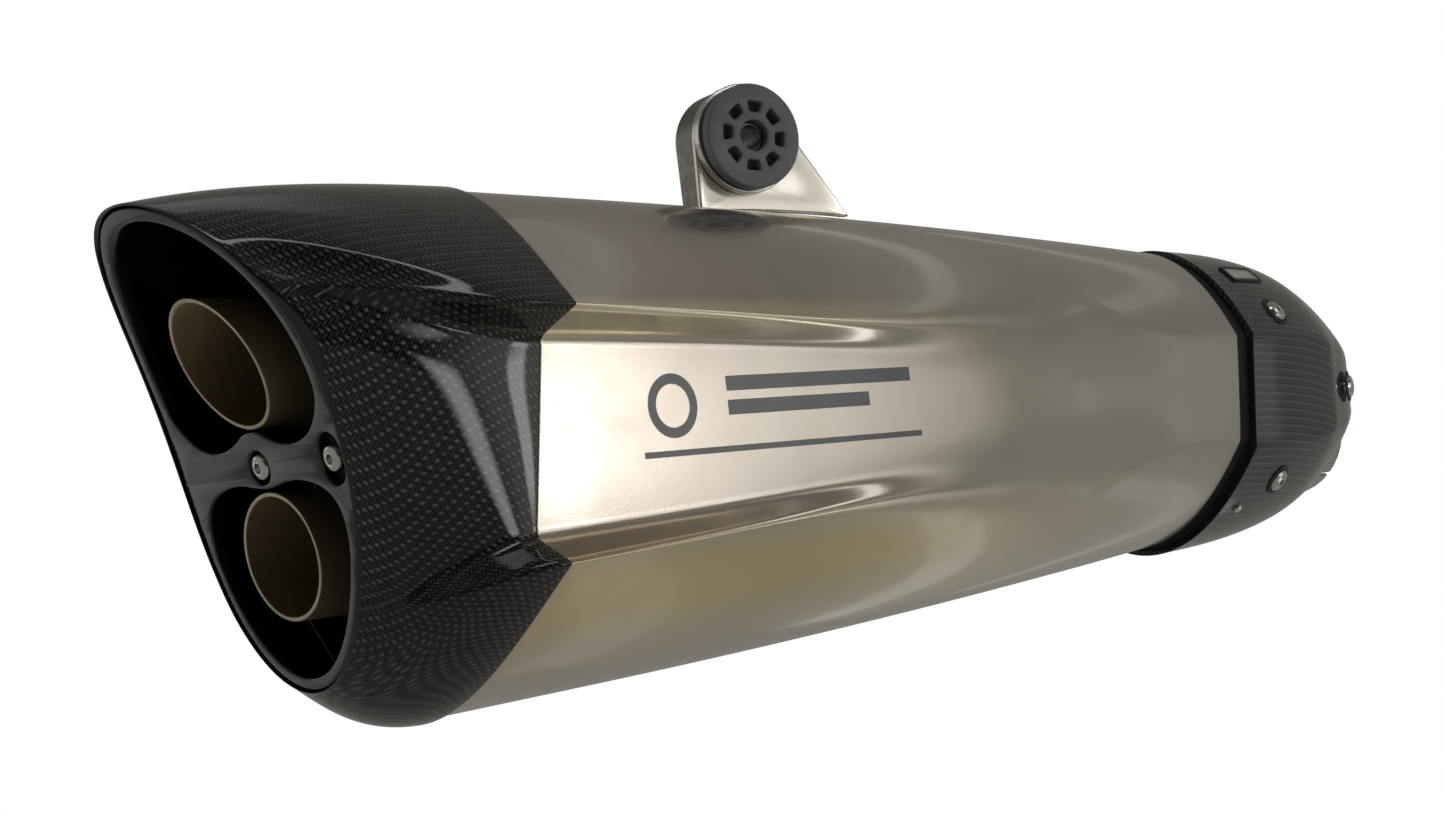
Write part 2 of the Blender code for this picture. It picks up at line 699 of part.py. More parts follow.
def make_bracket(titanium):
    back = PLATE_BACK + PLATE_THICK
    rings = [[hanger_point(s, h, b) for s, h in plate_outline(back)] for b in (PLATE_BACK, back)]
    bracket = skin("hanger_bracket", rings, titanium)
    hole = [circle(hanger_point(0, 0, b), SEAT_BORE, 32, ALONG, UP) for b in (0, 0.04)]
    cut(bracket, cutter("bracket_hole", hole))
    # The return flange: a strip behind the plate's left edge and round the head's top.
    wall = 0.0018
    low = base_height(BASE_LEFT, back) + GAP
    arc = [math.radians(a) for a in range(180, 95, -12)]
    outer = [(-HEAD_RADIUS, low * k / 3) for k in (3, 2, 1)]
    inner = [(s + wall, h) for s, h in outer]
    outer += [(HEAD_RADIUS * math.cos(a), HEAD_RADIUS * math.sin(a)) for a in arc]
    inner += [((HEAD_RADIUS - wall) * math.cos(a), (HEAD_RADIUS - wall) * math.sin(a)) for a in arc]
    outline = outer + inner[::-1]
    front = [hanger_point(s, h, back - 0.0008) for s, h in outline]
    rear = [
        hanger_point(s, h, back + lerp(FLANGE_LOW, FLANGE_HIGH, clamp01(1 - h / low))) for s, h in outline
    ]
    rings = [front, rear]
    flange = skin("flange_tool", rings, titanium)
    flange.hide_render = True
    flange.display_type = "WIRE"
    join = bracket.modifiers.new("flange", "BOOLEAN")
    join.operation = "UNION"
    join.solver = "EXACT"
    join.object = flange


SEAT_BORE = 0.0140
SEAT_RADIUS = 0.0188
SEAT_FRONT = 0.0050  # from the damper's face back to its metal seat


def make_damper(steel, rubber):
    face = 0.0178
    turned(
        "damper_seat",
        [
            (-PLATE_BACK + GAP, SEAT_BORE),
            (-PLATE_BACK + GAP, SEAT_RADIUS),
            (-SEAT_FRONT, SEAT_RADIUS),
            (-SEAT_FRONT, SEAT_BORE),
        ],
        steel,
        HANGER,
        OUT,
        sides=40,
        joined=True,
    )
    bore, neck = 0.0053, SEAT_BORE - GAP
    rear = -PLATE_BACK - PLATE_THICK - GAP
    profile = [
        (0.0, bore),
        (0.0, face - 0.0008),
        (-0.0008, face),
        (GAP - SEAT_FRONT, face),
        (GAP - SEAT_FRONT, neck),
        (rear, neck),
        (rear, 0.0155),
        (rear - 0.0035, 0.0155),
        (rear - 0.0035, bore),
    ]
    damper = turned("rubber_damper", profile, rubber, HANGER, OUT, sides=40, joined=True)
    for k in range(8):
        angle = math.radians(45 * k - 7)
        out_dir = ALONG * math.cos(angle) + UP * math.sin(angle)
        side_dir = UP * math.cos(angle) - ALONG * math.sin(angle)
        rings = []
        for back in (-0.002, 0.007):
            middle = hanger_point(0, 0, back) + out_dir * 0.0100
            corners = ((-0.0019, -0.0022), (0.0019, -0.0029), (0.0019, 0.0029), (-0.0019, 0.0022))
            rings.append([middle + out_dir * a + side_dir * b for a, b in corners])
        cut(damper, cutter(f"damper_window_{k}", rings))
    turned(
        "damper_bush",
        [
            (rear - 0.0045, 0.0040),
            (rear - 0.0045, 0.0050),
            (-0.0030, 0.0050),
            (-0.0030, 0.0040),
        ],
        steel,
        HANGER,
        OUT,
        sides=32,
        joined=True,
    )


# --- The whole silencer ----------------------------------------------------------------------
def main():
    for old in list(bpy.data.objects):
        bpy.data.objects.remove(old, do_unlink=True)
    frame = bpy.data.objects.new("exhaust_frame", None)
    bpy.context.scene.collection.objects.link(frame)
    frame.location = -HANGER

    titanium = material("titanium", (0.55, 0.52, 0.47), 0.33, 1.0)
    steel = material("steel", (0.66, 0.65, 0.62), 0.25, 1.0)
    tube_steel = material("tube_steel", (0.30, 0.26, 0.20), 0.35, 1.0)
    carbon = material("carbon", (0.02, 0.02, 0.022), 0.22, 0.0, 1.0)
    black = material("satin_black", (0.03, 0.03, 0.035), 0.35)
    rubber = material("rubber", (0.07, 0.07, 0.08), 0.6)
    wool = material("wool", (0.75, 0.73, 0.66), 0.95)
    plain = material("badge", (0.75, 0.75, 0.74), 0.4)

    make_sleeve(titanium)
    tubes = ((UPPER_TUBE["z"], TUBE_RADIUS + GAP), (LOWER_TUBE["z"], TUBE_RADIUS + GAP))
    make_plate("rear_end_plate", 0.004, 0.0015, steel, tubes)
    make_plate("rear_baffle", 0.098, 0.0015, steel, tubes)
    make_plate("middle_baffle", 0.238, 0.0015, steel, ((0.0, CORE_RADIUS + GAP),))
    make_plate("front_end_plate", 0.356, 0.0015, steel, ((0.0, CORE_RADIUS - 0.0012),))
    make_tube("outlet_tube_upper", UPPER_TUBE, tube_steel)
    make_tube("outlet_tube_lower", LOWER_TUBE, tube_steel)
    make_core(steel)
    make_packing("packing_rear", 0.140, 0.230, wool)
    make_packing("packing_front", 0.248, 0.340, wool)
    make_end_cap(carbon)
    make_outlet_insert(black)
    make_insert_screws(steel)
    make_seam_band(rubber)
    make_front_cone(titanium)
    make_inlet_pipe(titanium)
    make_cover_screws(make_cover(carbon), steel)
    make_badge(plain)
    make_bracket(titanium)
    make_damper(steel, rubber)
    bpy.context.view_layer.update()


main()
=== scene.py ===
"""The looks of a twin-outlet racing silencer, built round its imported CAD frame.

Shapes are worked out in body coordinates, in metres. Their zero is on the axis at the rear seam, the
outlets face -X, and the name panel faces -Y. Moving by -HANGER takes them to the frame's own zero.
"""

import math
from itertools import accumulate

import bmesh
import bpy
from mathutils import Matrix, Vector


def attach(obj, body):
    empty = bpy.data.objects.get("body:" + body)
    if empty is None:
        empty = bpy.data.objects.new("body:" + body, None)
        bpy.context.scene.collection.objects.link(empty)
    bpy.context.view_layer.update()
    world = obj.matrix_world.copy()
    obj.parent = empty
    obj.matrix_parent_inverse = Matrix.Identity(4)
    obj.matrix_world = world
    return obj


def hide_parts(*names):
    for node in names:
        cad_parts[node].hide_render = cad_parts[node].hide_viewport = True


# --- Dimensions shared with the CAD ---
GAP = 0.0003  # between neighbours that touch in reality
HANGER = Vector((0.1437, -0.0077, 0.0979))
HANGER_TURN = math.radians(16)

SLEEVE_LENGTH = 0.371
SLEEVE_WALL = 0.0012
SLEEVE_START = -0.0014
REAR_RAKE = 0.145
FRONT_RAKE = 0.142
RIDGE_END = 0.200
PANEL_DEPTH = 0.014
PANEL_DROP = 0.0065
SIDE_BULGE = 0.0012

CAP_WALL = 0.0022
CAP_PROUD = 0.0011
RIM_WALL = 0.0009
OPENING_WIDTH = 0.040
OPENING_CENTRE = 0.008
OPENING_UP = 0.059
OPENING_DOWN = 0.070

TUBE_RADIUS = 0.0175
TUBE_WALL = 0.0012
TUBE_INNER_END = 0.110
TUBE_SIDES = 72
# Each tube: its axis's height, and the slash cut's x on the axis and its slope.
TUBES = {
    "outlet_tube_upper": (0.0265, -0.0629, -0.516),
    "outlet_tube_lower": (-0.0253, -0.0490, -0.152),
}

COVER_WALL = 0.0020
COVER_START = 0.380
COVER_END = 0.492
COVER_CENTRE = -0.0015
COVER_BEND = 0.136  # how far the crown's curve is from a parabola
BAND_WALL = 0.0022
BAND_INSET = 0.0040
BAND_SUNK = 0.0012  # how far the rubber's face lies under the sleeve's
LIP_HEIGHT = 0.009  # of the band's lip, which closes the cover's mouth from inside
FACET_END = 0.453  # the cover's flat facet ends here, at an edge
INLET_Z = -0.020
PIPE_CLEARANCE = 0.0312  # radius of the cover's scallop round the inlet pipe
PIPE_CLEAR_RUN = (0.452, 0.495)

PLATE_BACK = 0.0085
PLATE_THICK = 0.0025
HEAD_RADIUS = 0.0184
FLANGE_LOW, FLANGE_HIGH = 0.0100, 0.0114
BASE_LEFT, BASE_RIGHT = -0.0184, 0.0405
SEAT_BORE = 0.0140
SEAT_FRONT = 0.0050
DAMPER_FACE = 0.0178
DAMPER_BORE = 0.0053
DAMPER_WINDOW_OUT = 0.0100  # from the damper's centre to a window's
DAMPER_WINDOW = ((-0.0018, -0.0021), (0.0018, -0.0028), (0.0018, 0.0028), (-0.0018, 0.0021))

# Each station: x, half height at the crown, half width and half height at the side corner.
SLEEVE_STATIONS = (
    (0.000, 0.0750, 0.0665, 0.0337), (0.100, 0.0736, 0.0640, 0.0293),
    (0.200, 0.0707, 0.0605, 0.0255), (0.310, 0.0659, 0.0533, 0.0218),
    (0.371, 0.0624, 0.0501, 0.0214),
)
COVER_STATIONS = (
    (0.380, 0.0648, 0.0520, 0.0235), (0.420, 0.0633, 0.0512, 0.0225),
    (0.453, 0.0590, 0.0495, 0.0200), (0.475, 0.0528, 0.0450, 0.0175),
    (0.492, 0.0435, 0.0370, 0.0140),
)
# Where the crown's curve ends and the side begins: x and its height. Towards the inlet it is a crease.
CREASE_STATIONS = (
    (0.000, 0.0407), (0.100, 0.0370), (0.200, 0.0362), (0.245, 0.0365), (0.262, 0.0362),
    (0.272, 0.0352), (0.290, 0.0285), (0.310, 0.0222), (0.371, 0.0214),
)
# Half width of the sleeve at mid height, where no panel is pressed in.
MIDDLE_STATIONS = (
    (0.000, 0.0677), (0.100, 0.0652), (0.200, 0.0617), (0.235, 0.0597), (0.272, 0.0566),
    (0.310, 0.0535), (0.371, 0.0503),
)
FLAT_START = 0.245  # from here the flat facet of the inlet end starts to form
FLAT_FULL = 0.290
SIDE_START = 0.05  # from here the ridge's sharp corner starts to round off
SLEEVE_BENDS = (-0.25, 0.136)  # as COVER_BEND, at each end of the sleeve
SEARCH_STEPS = 24

# --- Outline steps ---
CROWN_STEPS = 9
FLANK_SHARES = (0.0, 0.55, 0.78, 1.0)  # where the flank's lines lie between the crease and the ridge
PANEL_STEPS = 4
RIDGE_LINE = CROWN_STEPS + len(FLANK_SHARES) - 1
EDGE_LINE = CROWN_STEPS + 1  # the end cap's second edge
FOOT_LINE = RIDGE_LINE + 1

TOW = 0.00118  # width of one carbon tow

SAME_PLACE = 1e-6  # vertices closer than this are joined
FLAT_ANGLE = math.radians(1.0)
PLATE_SHARP = math.radians(38)
CORNER_STEPS = 4


# --- Small helpers ---
def lerp(a, b, t):
    return a + (b - a) * t


def clamp01(t):
    return min(max(t, 0.0), 1.0)


def smoothstep(a, b, x):
    t = clamp01((x - a) / (b - a))
    return t * t * (3 - 2 * t)


def along(stations, x):
    """The columns' values at x on smooth curves through the stations."""
    x = min(max(x, stations[0][0]), stations[-1][0])
    i = max(k for k, row in enumerate(stations[:-1]) if row[0] <= x)
    (x0, *low), (x1, *high) = stations[i], stations[i + 1]
    w, t = x1 - x0, (x - x0) / (x1 - x0)

    def slope(k, column):
        before, after = stations[max(k - 1, 0)], stations[min(k + 1, len(stations) - 1)]
        return (after[column] - before[column]) / (after[0] - before[0])

    return [
        y0 * (1 + 2 * t) * (1 - t) ** 2
        + slope(i, column) * w * t * (1 - t) ** 2
        + y1 * t * t * (3 - 2 * t)
        + slope(i + 1, column) * w * t * t * (t - 1)
        for column, (y0, y1) in enumerate(zip(low, high), 1)
    ]


def offset(outline, distance):
    """The closed outline moved outwards by distance, or inwards if it is negative."""
    area = sum(a[0] * b[1] - b[0] * a[1] for a, b in zip(outline, outline[1:] + outline[:1]))
    turn = 1 if area > 0 else -1
    moved = []
    for i, (y, z) in enumerate(outline):
        before, after = outline[i - 1], outline[(i + 1) % len(outline)]
        normals = []
        for (ay, az), (by, bz) in ((before, (y, z)), ((y, z), after)):
            length = math.hypot(by - ay, bz - az)
            normals.append(((bz - az) / length * turn, (ay - by) / length * turn))
        (ny, nz), (my, mz) = normals
        share = max(1 + ny * my + nz * mz, 0.5)
        moved.append((y + distance * (ny + my) / share, z + distance * (nz + mz) / share))
    return moved


def closed(upper, lower):
    """A closed outline from its far quarters, which run from the top and bottom to the side's middle."""
    near = [(-y, z) for y, z in upper + lower[-2::-1]]
    return near + lower[1:] + upper[-2:0:-1]


def mirrored(quadrant):
    return closed(quadrant, [(y, -z) for y, z in quadrant])


def line_number(k, count):
    """Which of a quadrant's lines the outline's point k lies on."""
    k %= count // 2
    return min(k, count // 2 - k)


# --- The sleeve's section ---
def crown_z(x, y):
    """Height of the plain barrel's skin at half width y."""
    half, corner_y, corner_z = along(SLEEVE_STATIONS, x)
    t, bend = y / corner_y, lerp(*SLEEVE_BENDS, clamp01(x / SLEEVE_LENGTH))
    return half - (half - corner_z) * ((1 - bend) * t * t + bend * t**4)


def flank_y(x, z):
    """Half width of the plain barrel at height z, with a slight bulge below its corner."""
    _, corner_y, corner_z = along(SLEEVE_STATIONS, x)
    if z <= corner_z:
        return corner_y + SIDE_BULGE * (1 - (z / corner_z) ** 2)
    low, high = 0.0, corner_y
    for _ in range(SEARCH_STEPS):
        middle = (low + high) / 2
        low, high = (middle, high) if crown_z(x, middle) > z else (low, middle)
    return low


def rounded_y(x, z):
    """Half width of a side that leaves the crease smoothly, or at an edge towards the inlet."""
    crease = along(CREASE_STATIONS, x)[0]
    edge = flank_y(x, crease)
    bulge = along(MIDDLE_STATIONS, x)[0] - edge
    step = 0.0005
    slope = (edge - flank_y(x, crease + step)) / step
    power = lerp(slope * crease / bulge, 2.0, smoothstep(FLAT_START, FLAT_FULL, x))
    return edge + bulge * (1 - min(z / crease, 1.0) ** power)


def side_y(x, z):
    """Half width below the crease: a sharp ridge at the rear becomes a rounded side further on."""
    return lerp(flank_y(x, z), rounded_y(x, z), smoothstep(SIDE_START, RIDGE_END, x))


def sleeve_quadrant(x):
    _, corner_y, corner_z = along(SLEEVE_STATIONS, x)
    crease = along(CREASE_STATIONS, x)[0]
    reach = flank_y(x, crease)
    points = [(y, crown_z(x, y)) for y in (reach * i / CROWN_STEPS for i in range(CROWN_STEPS + 1))]
    ridge_z = lerp(corner_z, crease * 0.72, smoothstep(SIDE_START, RIDGE_END, x))
    for share in FLANK_SHARES[1:]:
        z = lerp(crease, ridge_z, share)
        points.append((side_y(x, z), z))
    inside = (1 - clamp01(x / RIDGE_END)) ** 1.15
    for i in range(PANEL_STEPS + 1):
        z = (ridge_z - PANEL_DROP) * (1 - i / PANEL_STEPS)
        points.append((lerp(side_y(x, z), corner_y - PANEL_DEPTH, inside), z))
    return points


def sleeve_outline(x, grow=0.0):
    return offset(mirrored(sleeve_quadrant(x)), grow)


def sleeve_ring(x, grow=0.0, shift=0.0):
    rake = lerp(REAR_RAKE, FRONT_RAKE, x / SLEEVE_LENGTH)
    return [Vector((x + shift + rake * z, y, z)) for y, z in sleeve_outline(x, grow)]


# --- Mesh making ---
def weave_lengths(rings):
    """Each point's distance round its ring from the crown, and its distance from the first ring."""
    rounds, runs = [], [[0.0] * len(rings[0])]
    for ring in rings:
        sides = [(b - a).length for a, b in zip(ring, ring[1:] + ring[:1])]
        rounds.append(list(accumulate(sides, initial=0.0)))
    for before, ring in zip(rings, rings[1:]):
        runs.append([run + (b - a).length for run, a, b in zip(runs[-1], before, ring)])
    return rounds, runs


def shell(name, rings, finishes, crease=None, finish_of=None, levels=2):
    """A closed skin over rings of equal counts, the last joined to the first, and subdivided.

    crease(ring, point, lengthwise) gives an edge's sharpness, and finish_of(ring) a face's material number.
    """
    count = len(rings[0])
    rounds, runs = weave_lengths(rings)
    shaped = bmesh.new()
    corners = [[shaped.verts.new(p - HANGER) for p in ring] for ring in rings]
    weave = shaped.loops.layers.uv.new("weave")
    sharpness = shaped.edges.layers.float.new("crease_edge")
    for r in range(len(rings)):
        nxt = (r + 1) % len(rings)
        for k in range(count):
            places = ((r, k, k), (r, (k + 1) % count, k + 1), (nxt, (k + 1) % count, k + 1), (nxt, k, k))
            face = shaped.faces.new([corners[ring][point] for ring, point, _ in places])
            face.smooth = True
            face.material_index = finish_of(r) if finish_of else 0
            for loop, (ring, point, walk) in zip(face.loops, places):
                turn = rounds[ring][-1] if k >= count // 2 else 0.0
                loop[weave].uv = (rounds[ring][walk] - turn, runs[ring][point])
    if crease:
        for r, ring in enumerate(corners):
            for k, corner in enumerate(ring):
                ahead, beside = corners[(r + 1) % len(rings)][k], ring[(k + 1) % count]
                shaped.edges.get((corner, ahead))[sharpness] = crease(r, k, True)
                shaped.edges.get((corner, beside))[sharpness] = crease(r, k, False)
    return add_piece(name, mesh_of(name, shaped), finishes, levels)


def mesh_of(name, shaped, outward=True):
    """A bmesh as a mesh, with its faces turned outwards if asked."""
    if outward:
        bmesh.ops.recalc_face_normals(shaped, faces=shaped.faces)
    mesh = bpy.data.meshes.new(name)
    shaped.to_mesh(mesh)
    shaped.free()
    return mesh


def in_scene(name, data):
    """A new object that shows this mesh, light or camera."""
    made = bpy.data.objects.new(name, data)
    bpy.context.scene.collection.objects.link(made)
    return made


def add_piece(name, mesh, finishes, levels=0):
    piece = in_scene(name, mesh)
    for finish in finishes:
        mesh.materials.append(finish)
    if levels:
        smooth = piece.modifiers.new("smooth", "SUBSURF")
        smooth.levels = smooth.render_levels = levels
    return piece


def soft_edges(piece, width, segments=3, angle=32):
    """Rounds a piece's edges and shades it smooth between them."""
    bevel = piece.modifiers.new("edges", "BEVEL")
    bevel.width = width
    bevel.segments = segments
    bevel.limit_method = "ANGLE"
    bevel.angle_limit = math.radians(angle)
    bevel.harden_normals = True
    piece.data.shade_smooth()
    piece.data.set_sharp_from_angle(angle=math.radians(angle))
    return piece


def settle(piece, node):
    """Puts a new piece in its CAD node's place."""
    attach(piece, "root")
    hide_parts(node)


def extra(piece):
    """A detail that stands for no CAD node of its own."""
    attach(piece, "root")


def refined(node, finish, width, shift=Vector()):
    """A CAD node's shape with its flat faces joined up and its edges rounded."""
    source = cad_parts[node].data
    shaped = bmesh.new()
    places = [shaped.verts.new(Vector(v.co) + shift) for v in source.vertices]
    for polygon in source.polygons:
        corners = [places[i] for i in polygon.vertices]
        if len(set(corners)) == len(corners):
            shaped.faces.new(corners)
    bmesh.ops.remove_doubles(shaped, verts=shaped.verts, dist=SAME_PLACE)
    bmesh.ops.dissolve_limit(shaped, angle_limit=FLAT_ANGLE, verts=shaped.verts, edges=shaped.edges)
    piece = add_piece(node + "_fine", mesh_of(node + "_fine", shaped, outward=False), [finish])
    soft_edges(piece, width, segments=2)
    settle(piece, node)


def plate(name, loops, thickness, bevel, place, finish, cuts=()):
    """A flat plate with holes, its edges rounded, laid where place(a, b, depth) says.

    The first loop is the outline and the rest are holes. It may bend at the heights in cuts.
    """
    curve = bpy.data.curves.new(name, "CURVE")
    curve.dimensions = "2D"
    curve.fill_mode = "BOTH"
    curve.extrude = thickness / 2 - bevel
    curve.bevel_depth = bevel
    curve.bevel_resolution = 2
    curve.offset = -bevel
    for points in loops:
        spline = curve.splines.new("POLY")
        spline.points.add(len(points) - 1)
        for point, (a, b) in zip(spline.points, points):
            point.co = (a, b, 0, 1)
        spline.use_cyclic_u = True
    holder = bpy.data.objects.new(name + "_curve", curve)
    mesh = bpy.data.meshes.new_from_object(holder)
    bpy.data.objects.remove(holder)
    shaped = bmesh.new()
    shaped.from_mesh(mesh)
    bmesh.ops.remove_doubles(shaped, verts=shaped.verts, dist=SAME_PLACE)
    for height in cuts:
        everything = shaped.verts[:] + shaped.edges[:] + shaped.faces[:]
        bmesh.ops.bisect_plane(shaped, geom=everything, plane_co=(0, height, 0), plane_no=(0, 1, 0))
    for vert in shaped.verts:
        a, b, depth = vert.co
        vert.co = place(a, b, depth + thickness / 2) - HANGER
    bpy.data.meshes.remove(mesh)
    mesh = mesh_of(name, shaped)
    mesh.shade_smooth()
    mesh.set_sharp_from_angle(angle=PLATE_SHARP)
    return add_piece(name, mesh, [finish])


def circle(centre, radius, sides, across=Vector((0, 1, 0)), up=Vector((0, 0, 1))):
    turns = [2 * math.pi * k / sides for k in range(sides)]
    return [centre + across * (radius * math.sin(a)) + up * (radius * math.cos(a)) for a in turns]


def arc(radius, degrees):
    return [(radius * math.cos(a), radius * math.sin(a)) for a in map(math.radians, degrees)]


def flat_circle(radius, sides):
    return arc(radius, (360 * k / sides for k in range(sides)))


def turned(name, profile, finish, centre, axis, sides=64):
    """A turned solid: profile rows are (distance along the axis, radius)."""
    axis = axis.normalized()
    across = axis.orthogonal().normalized()
    up = axis.cross(across)
    rings = [circle(centre + axis * d, r, sides, across, up) for d, r in profile]
    piece = shell(name, rings, [finish], levels=0)
    return soft_edges(piece, 0.0003, segments=2)


# --- Materials ---
class Nodes:
    """Adds nodes to one tree. A value is a number, a colour, a vector or another node's output."""

    def __init__(self, owner, empty=False):
        owner.use_nodes = True
        self.tree = owner.node_tree
        if empty:
            self.tree.nodes.clear()

    def add(self, kind, **inputs):
        return self.feed(self.tree.nodes.new("ShaderNode" + kind), **inputs)

    def feed(self, node, **inputs):
        """Gives a node's inputs these values. Their names have _ for a space."""
        for name, value in inputs.items():
            self.put(node.inputs[name.replace("_", " ")], value)
        return node

    def put(self, socket, value):
        if isinstance(value, bpy.types.NodeSocket):
            self.tree.links.new(value, socket)
        else:
            socket.default_value = (*value, 1) if socket.type == "RGBA" else value

    def fill(self, node, *values):
        """Gives the node's first inputs these values, and returns its first output."""
        for socket, value in zip(node.inputs, values):
            self.put(socket, value)
        return node.outputs[0]

    def maths(self, operation, *values):
        node = self.add("Math")
        node.operation = operation
        return self.fill(node, *values)

    def plus(self, a, b):
        return self.maths("ADD", a, b)

    def minus(self, a, b):
        return self.maths("SUBTRACT", a, b)

    def times(self, product, *others):
        for other in others:
            product = self.maths("MULTIPLY", product, other)
        return product

    def blend(self, share, a, b):
        """A colour between a and b."""
        node = self.add("Mix")
        node.data_type = "RGBA"
        for number, value in ((0, share), (6, a), (7, b)):
            self.put(node.inputs[number], value)
        return node.outputs[2]

    def ranged(self, value, low, high, to_low=0.0, to_high=1.0):
        """Goes smoothly from to_low to to_high while value goes from low to high."""
        node = self.add("MapRange")
        node.interpolation_type = "SMOOTHSTEP"
        return self.fill(node, value, low, high, to_low, to_high)

    def split(self, vector):
        """The x, y and z of a vector."""
        return self.add("SeparateXYZ", Vector=vector).outputs[:3]

    def place(self):
        """The body coordinates x, y and z of the shaded point."""
        parts = self.split(self.add("TexCoord").outputs["Object"])
        return [self.plus(part, zero) for part, zero in zip(parts, HANGER)]

    def noise(self, scale, detail=2.0, stretch=(1.0, 1.0, 1.0)):
        place = self.add("Mapping", Vector=self.add("TexCoord").outputs["Object"], Scale=stretch)
        return self.add("TexNoise", Vector=place.outputs[0], Scale=scale, Detail=detail).outputs["Fac"]

    def bump(self, height, strength, distance=0.0002):
        return self.add("Bump", Height=height, Strength=strength, Distance=distance).outputs[0]


class Finish(Nodes):
    """A new material. dress() gives its shader's inputs their values."""

    def __init__(self, name, **settings):
        self.material = bpy.data.materials.new(name)
        super().__init__(self.material)
        self.dress(**settings)

    def dress(self, **settings):
        self.feed(self.tree.nodes["Principled BSDF"], **settings)
        return self.material


# The etched mark on the name panel: a plain ring and plain bars, as (x, z, half sizes or radii).
MARK_RING = (0.047, 0.0060, 0.0062, 0.0092)
MARK_BARS = (
    (0.108, 0.0115, 0.040, 0.0022), (0.098, 0.0045, 0.030, 0.0022), (0.093, -0.0075, 0.058, 0.0009),
)
MARK_COLOUR = (0.040, 0.042, 0.062)
MARK_STRENGTH = 0.92
# Colours of painted reflections on the sleeve near the outlet: the floor's painted reflection on the lower
# flank, and a painted highlight along the upper ridge.
REFLECTION_STRAW = (0.72, 0.60, 0.29)
HIGHLIGHT_CREAM = (0.95, 0.89, 0.66)


def mark_mask(mat, x, y, z):
    """1 on the etched mark, which is on the near side only."""
    ring_x, ring_z, inner, outer = MARK_RING
    dx, dz = mat.minus(x, ring_x), mat.minus(z, ring_z)
    far = mat.maths("SQRT", mat.plus(mat.times(dx, dx), mat.times(dz, dz)))
    mask = mat.times(mat.maths("GREATER_THAN", far, inner), mat.maths("LESS_THAN", far, outer))
    for bar_x, bar_z, half_x, half_z in MARK_BARS:
        inside = []
        for value, middle, half in ((x, bar_x, half_x), (z, bar_z, half_z)):
            away = mat.maths("ABSOLUTE", mat.minus(value, middle))
            inside.append(mat.maths("LESS_THAN", away, half))
        mask = mat.maths("MAXIMUM", mask, mat.times(*inside))
    return mat.times(mask, mat.maths("LESS_THAN", y, 0.0))


def painted_reflection_tint(mat, colour, x, z):
    """Painted reflections near the outlet: a yellow painted reflection of the floor on the lower flank, and
    a cream painted highlight along the upper ridge.
    """
    # Masks of the painted floor reflection on the lower flank and of the painted highlight along the upper
    # ridge.
    low = mat.times(mat.ranged(z, -0.022, -0.042), mat.ranged(z, -0.070, -0.045), mat.ranged(x, 0.34, 0.08))
    band = mat.times(mat.ranged(z, 0.024, 0.029), mat.ranged(z, 0.037, 0.032), mat.ranged(x, 0.20, 0.02))
    reflection_share = mat.times(mat.maths("MAXIMUM", low, band), 0.9)
    return mat.blend(band, mat.blend(reflection_share, colour, REFLECTION_STRAW), HIGHLIGHT_CREAM)


def titanium_finish(name, is_sleeve):
    """Satin titanium: blasted grain and faint clouds. The sleeve also has painted reflections near the
    outlet, and its mark.
    """
    mat = Finish(name, Metallic=1.0, Coat_Weight=0.6, Coat_Roughness=0.06, Coat_IOR=1.7)
    x, y, z = mat.place()
    clouds = mat.ranged(mat.noise(14.0, 3.0), 0.35, 0.68)
    colour = mat.blend(clouds, (0.625, 0.565, 0.485), (0.570, 0.515, 0.440))
    colour = mat.blend(mat.ranged(x, 0.06, 0.26, 0.0, 0.75), colour, (0.600, 0.580, 0.492))
    rough = mat.ranged(mat.noise(60.0, 4.0), 0.25, 0.75, 0.20, 0.27)
    if is_sleeve:
        mark = mat.times(mark_mask(mat, x, y, z), MARK_STRENGTH)
        # Under the etched mark, the sleeve gets its painted floor reflection and painted ridge highlight
        # near the outlet.
        colour = mat.blend(mark, painted_reflection_tint(mat, colour, x, z), MARK_COLOUR)
        rough = mat.plus(rough, mat.times(mark, 0.12))
        mat.dress(Metallic=mat.minus(1.0, mark))
    grain = mat.noise(2600.0, 2.0, (0.35, 1.0, 1.0))
    return mat.dress(Base_Color=colour, Roughness=rough, Normal=mat.bump(grain, 0.10))


def metal_finish(name, light, dark, roughness, scale=300.0, strength=0.08):
    """A plain metal with fine grain, small stains and uneven gloss."""
    mat = Finish(name, Metallic=1.0)
    stains = mat.ranged(mat.noise(55.0, 4.0), 0.35, 0.70)
    gloss = mat.ranged(mat.noise(scale, 3.0), 0.2, 0.8, roughness * 0.8, roughness * 1.25)
    grain = mat.bump(mat.noise(scale * 4, 2.0), strength)
    return mat.dress(Base_Color=mat.blend(stains, light, dark), Roughness=gloss, Normal=grain)


def tube_finish():
    """Outlet tube steel: oiled brown in faint bands, darker further in."""
    mat = Finish("tube_steel", Metallic=0.55)
    x = mat.place()[0]
    bands = mat.ranged(mat.noise(9.0, 3.0, (2.2, 0.5, 0.5)), 0.35, 0.65)
    colour = mat.blend(bands, (0.52, 0.405, 0.225), (0.29, 0.225, 0.135))
    colour = mat.blend(mat.ranged(x, -0.015, 0.075), colour, (0.030, 0.026, 0.020))
    gloss = mat.ranged(mat.noise(90.0, 3.0), 0.2, 0.8, 0.34, 0.48)
    lines = mat.bump(mat.noise(420.0, 2.0, (0.05, 1.0, 1.0)), 0.12)
    return mat.dress(Base_Color=colour, Roughness=gloss, Normal=lines)


def tow_height(mat, across, run):
    """Height over a tow: round across it, and arched along its float over two others."""
    rounded = mat.maths("SINE", mat.times(across, math.pi))
    arch = mat.maths("SINE", mat.times(run, math.pi / 2))
    return mat.times(rounded, mat.plus(mat.times(arch, 0.5), 0.5))


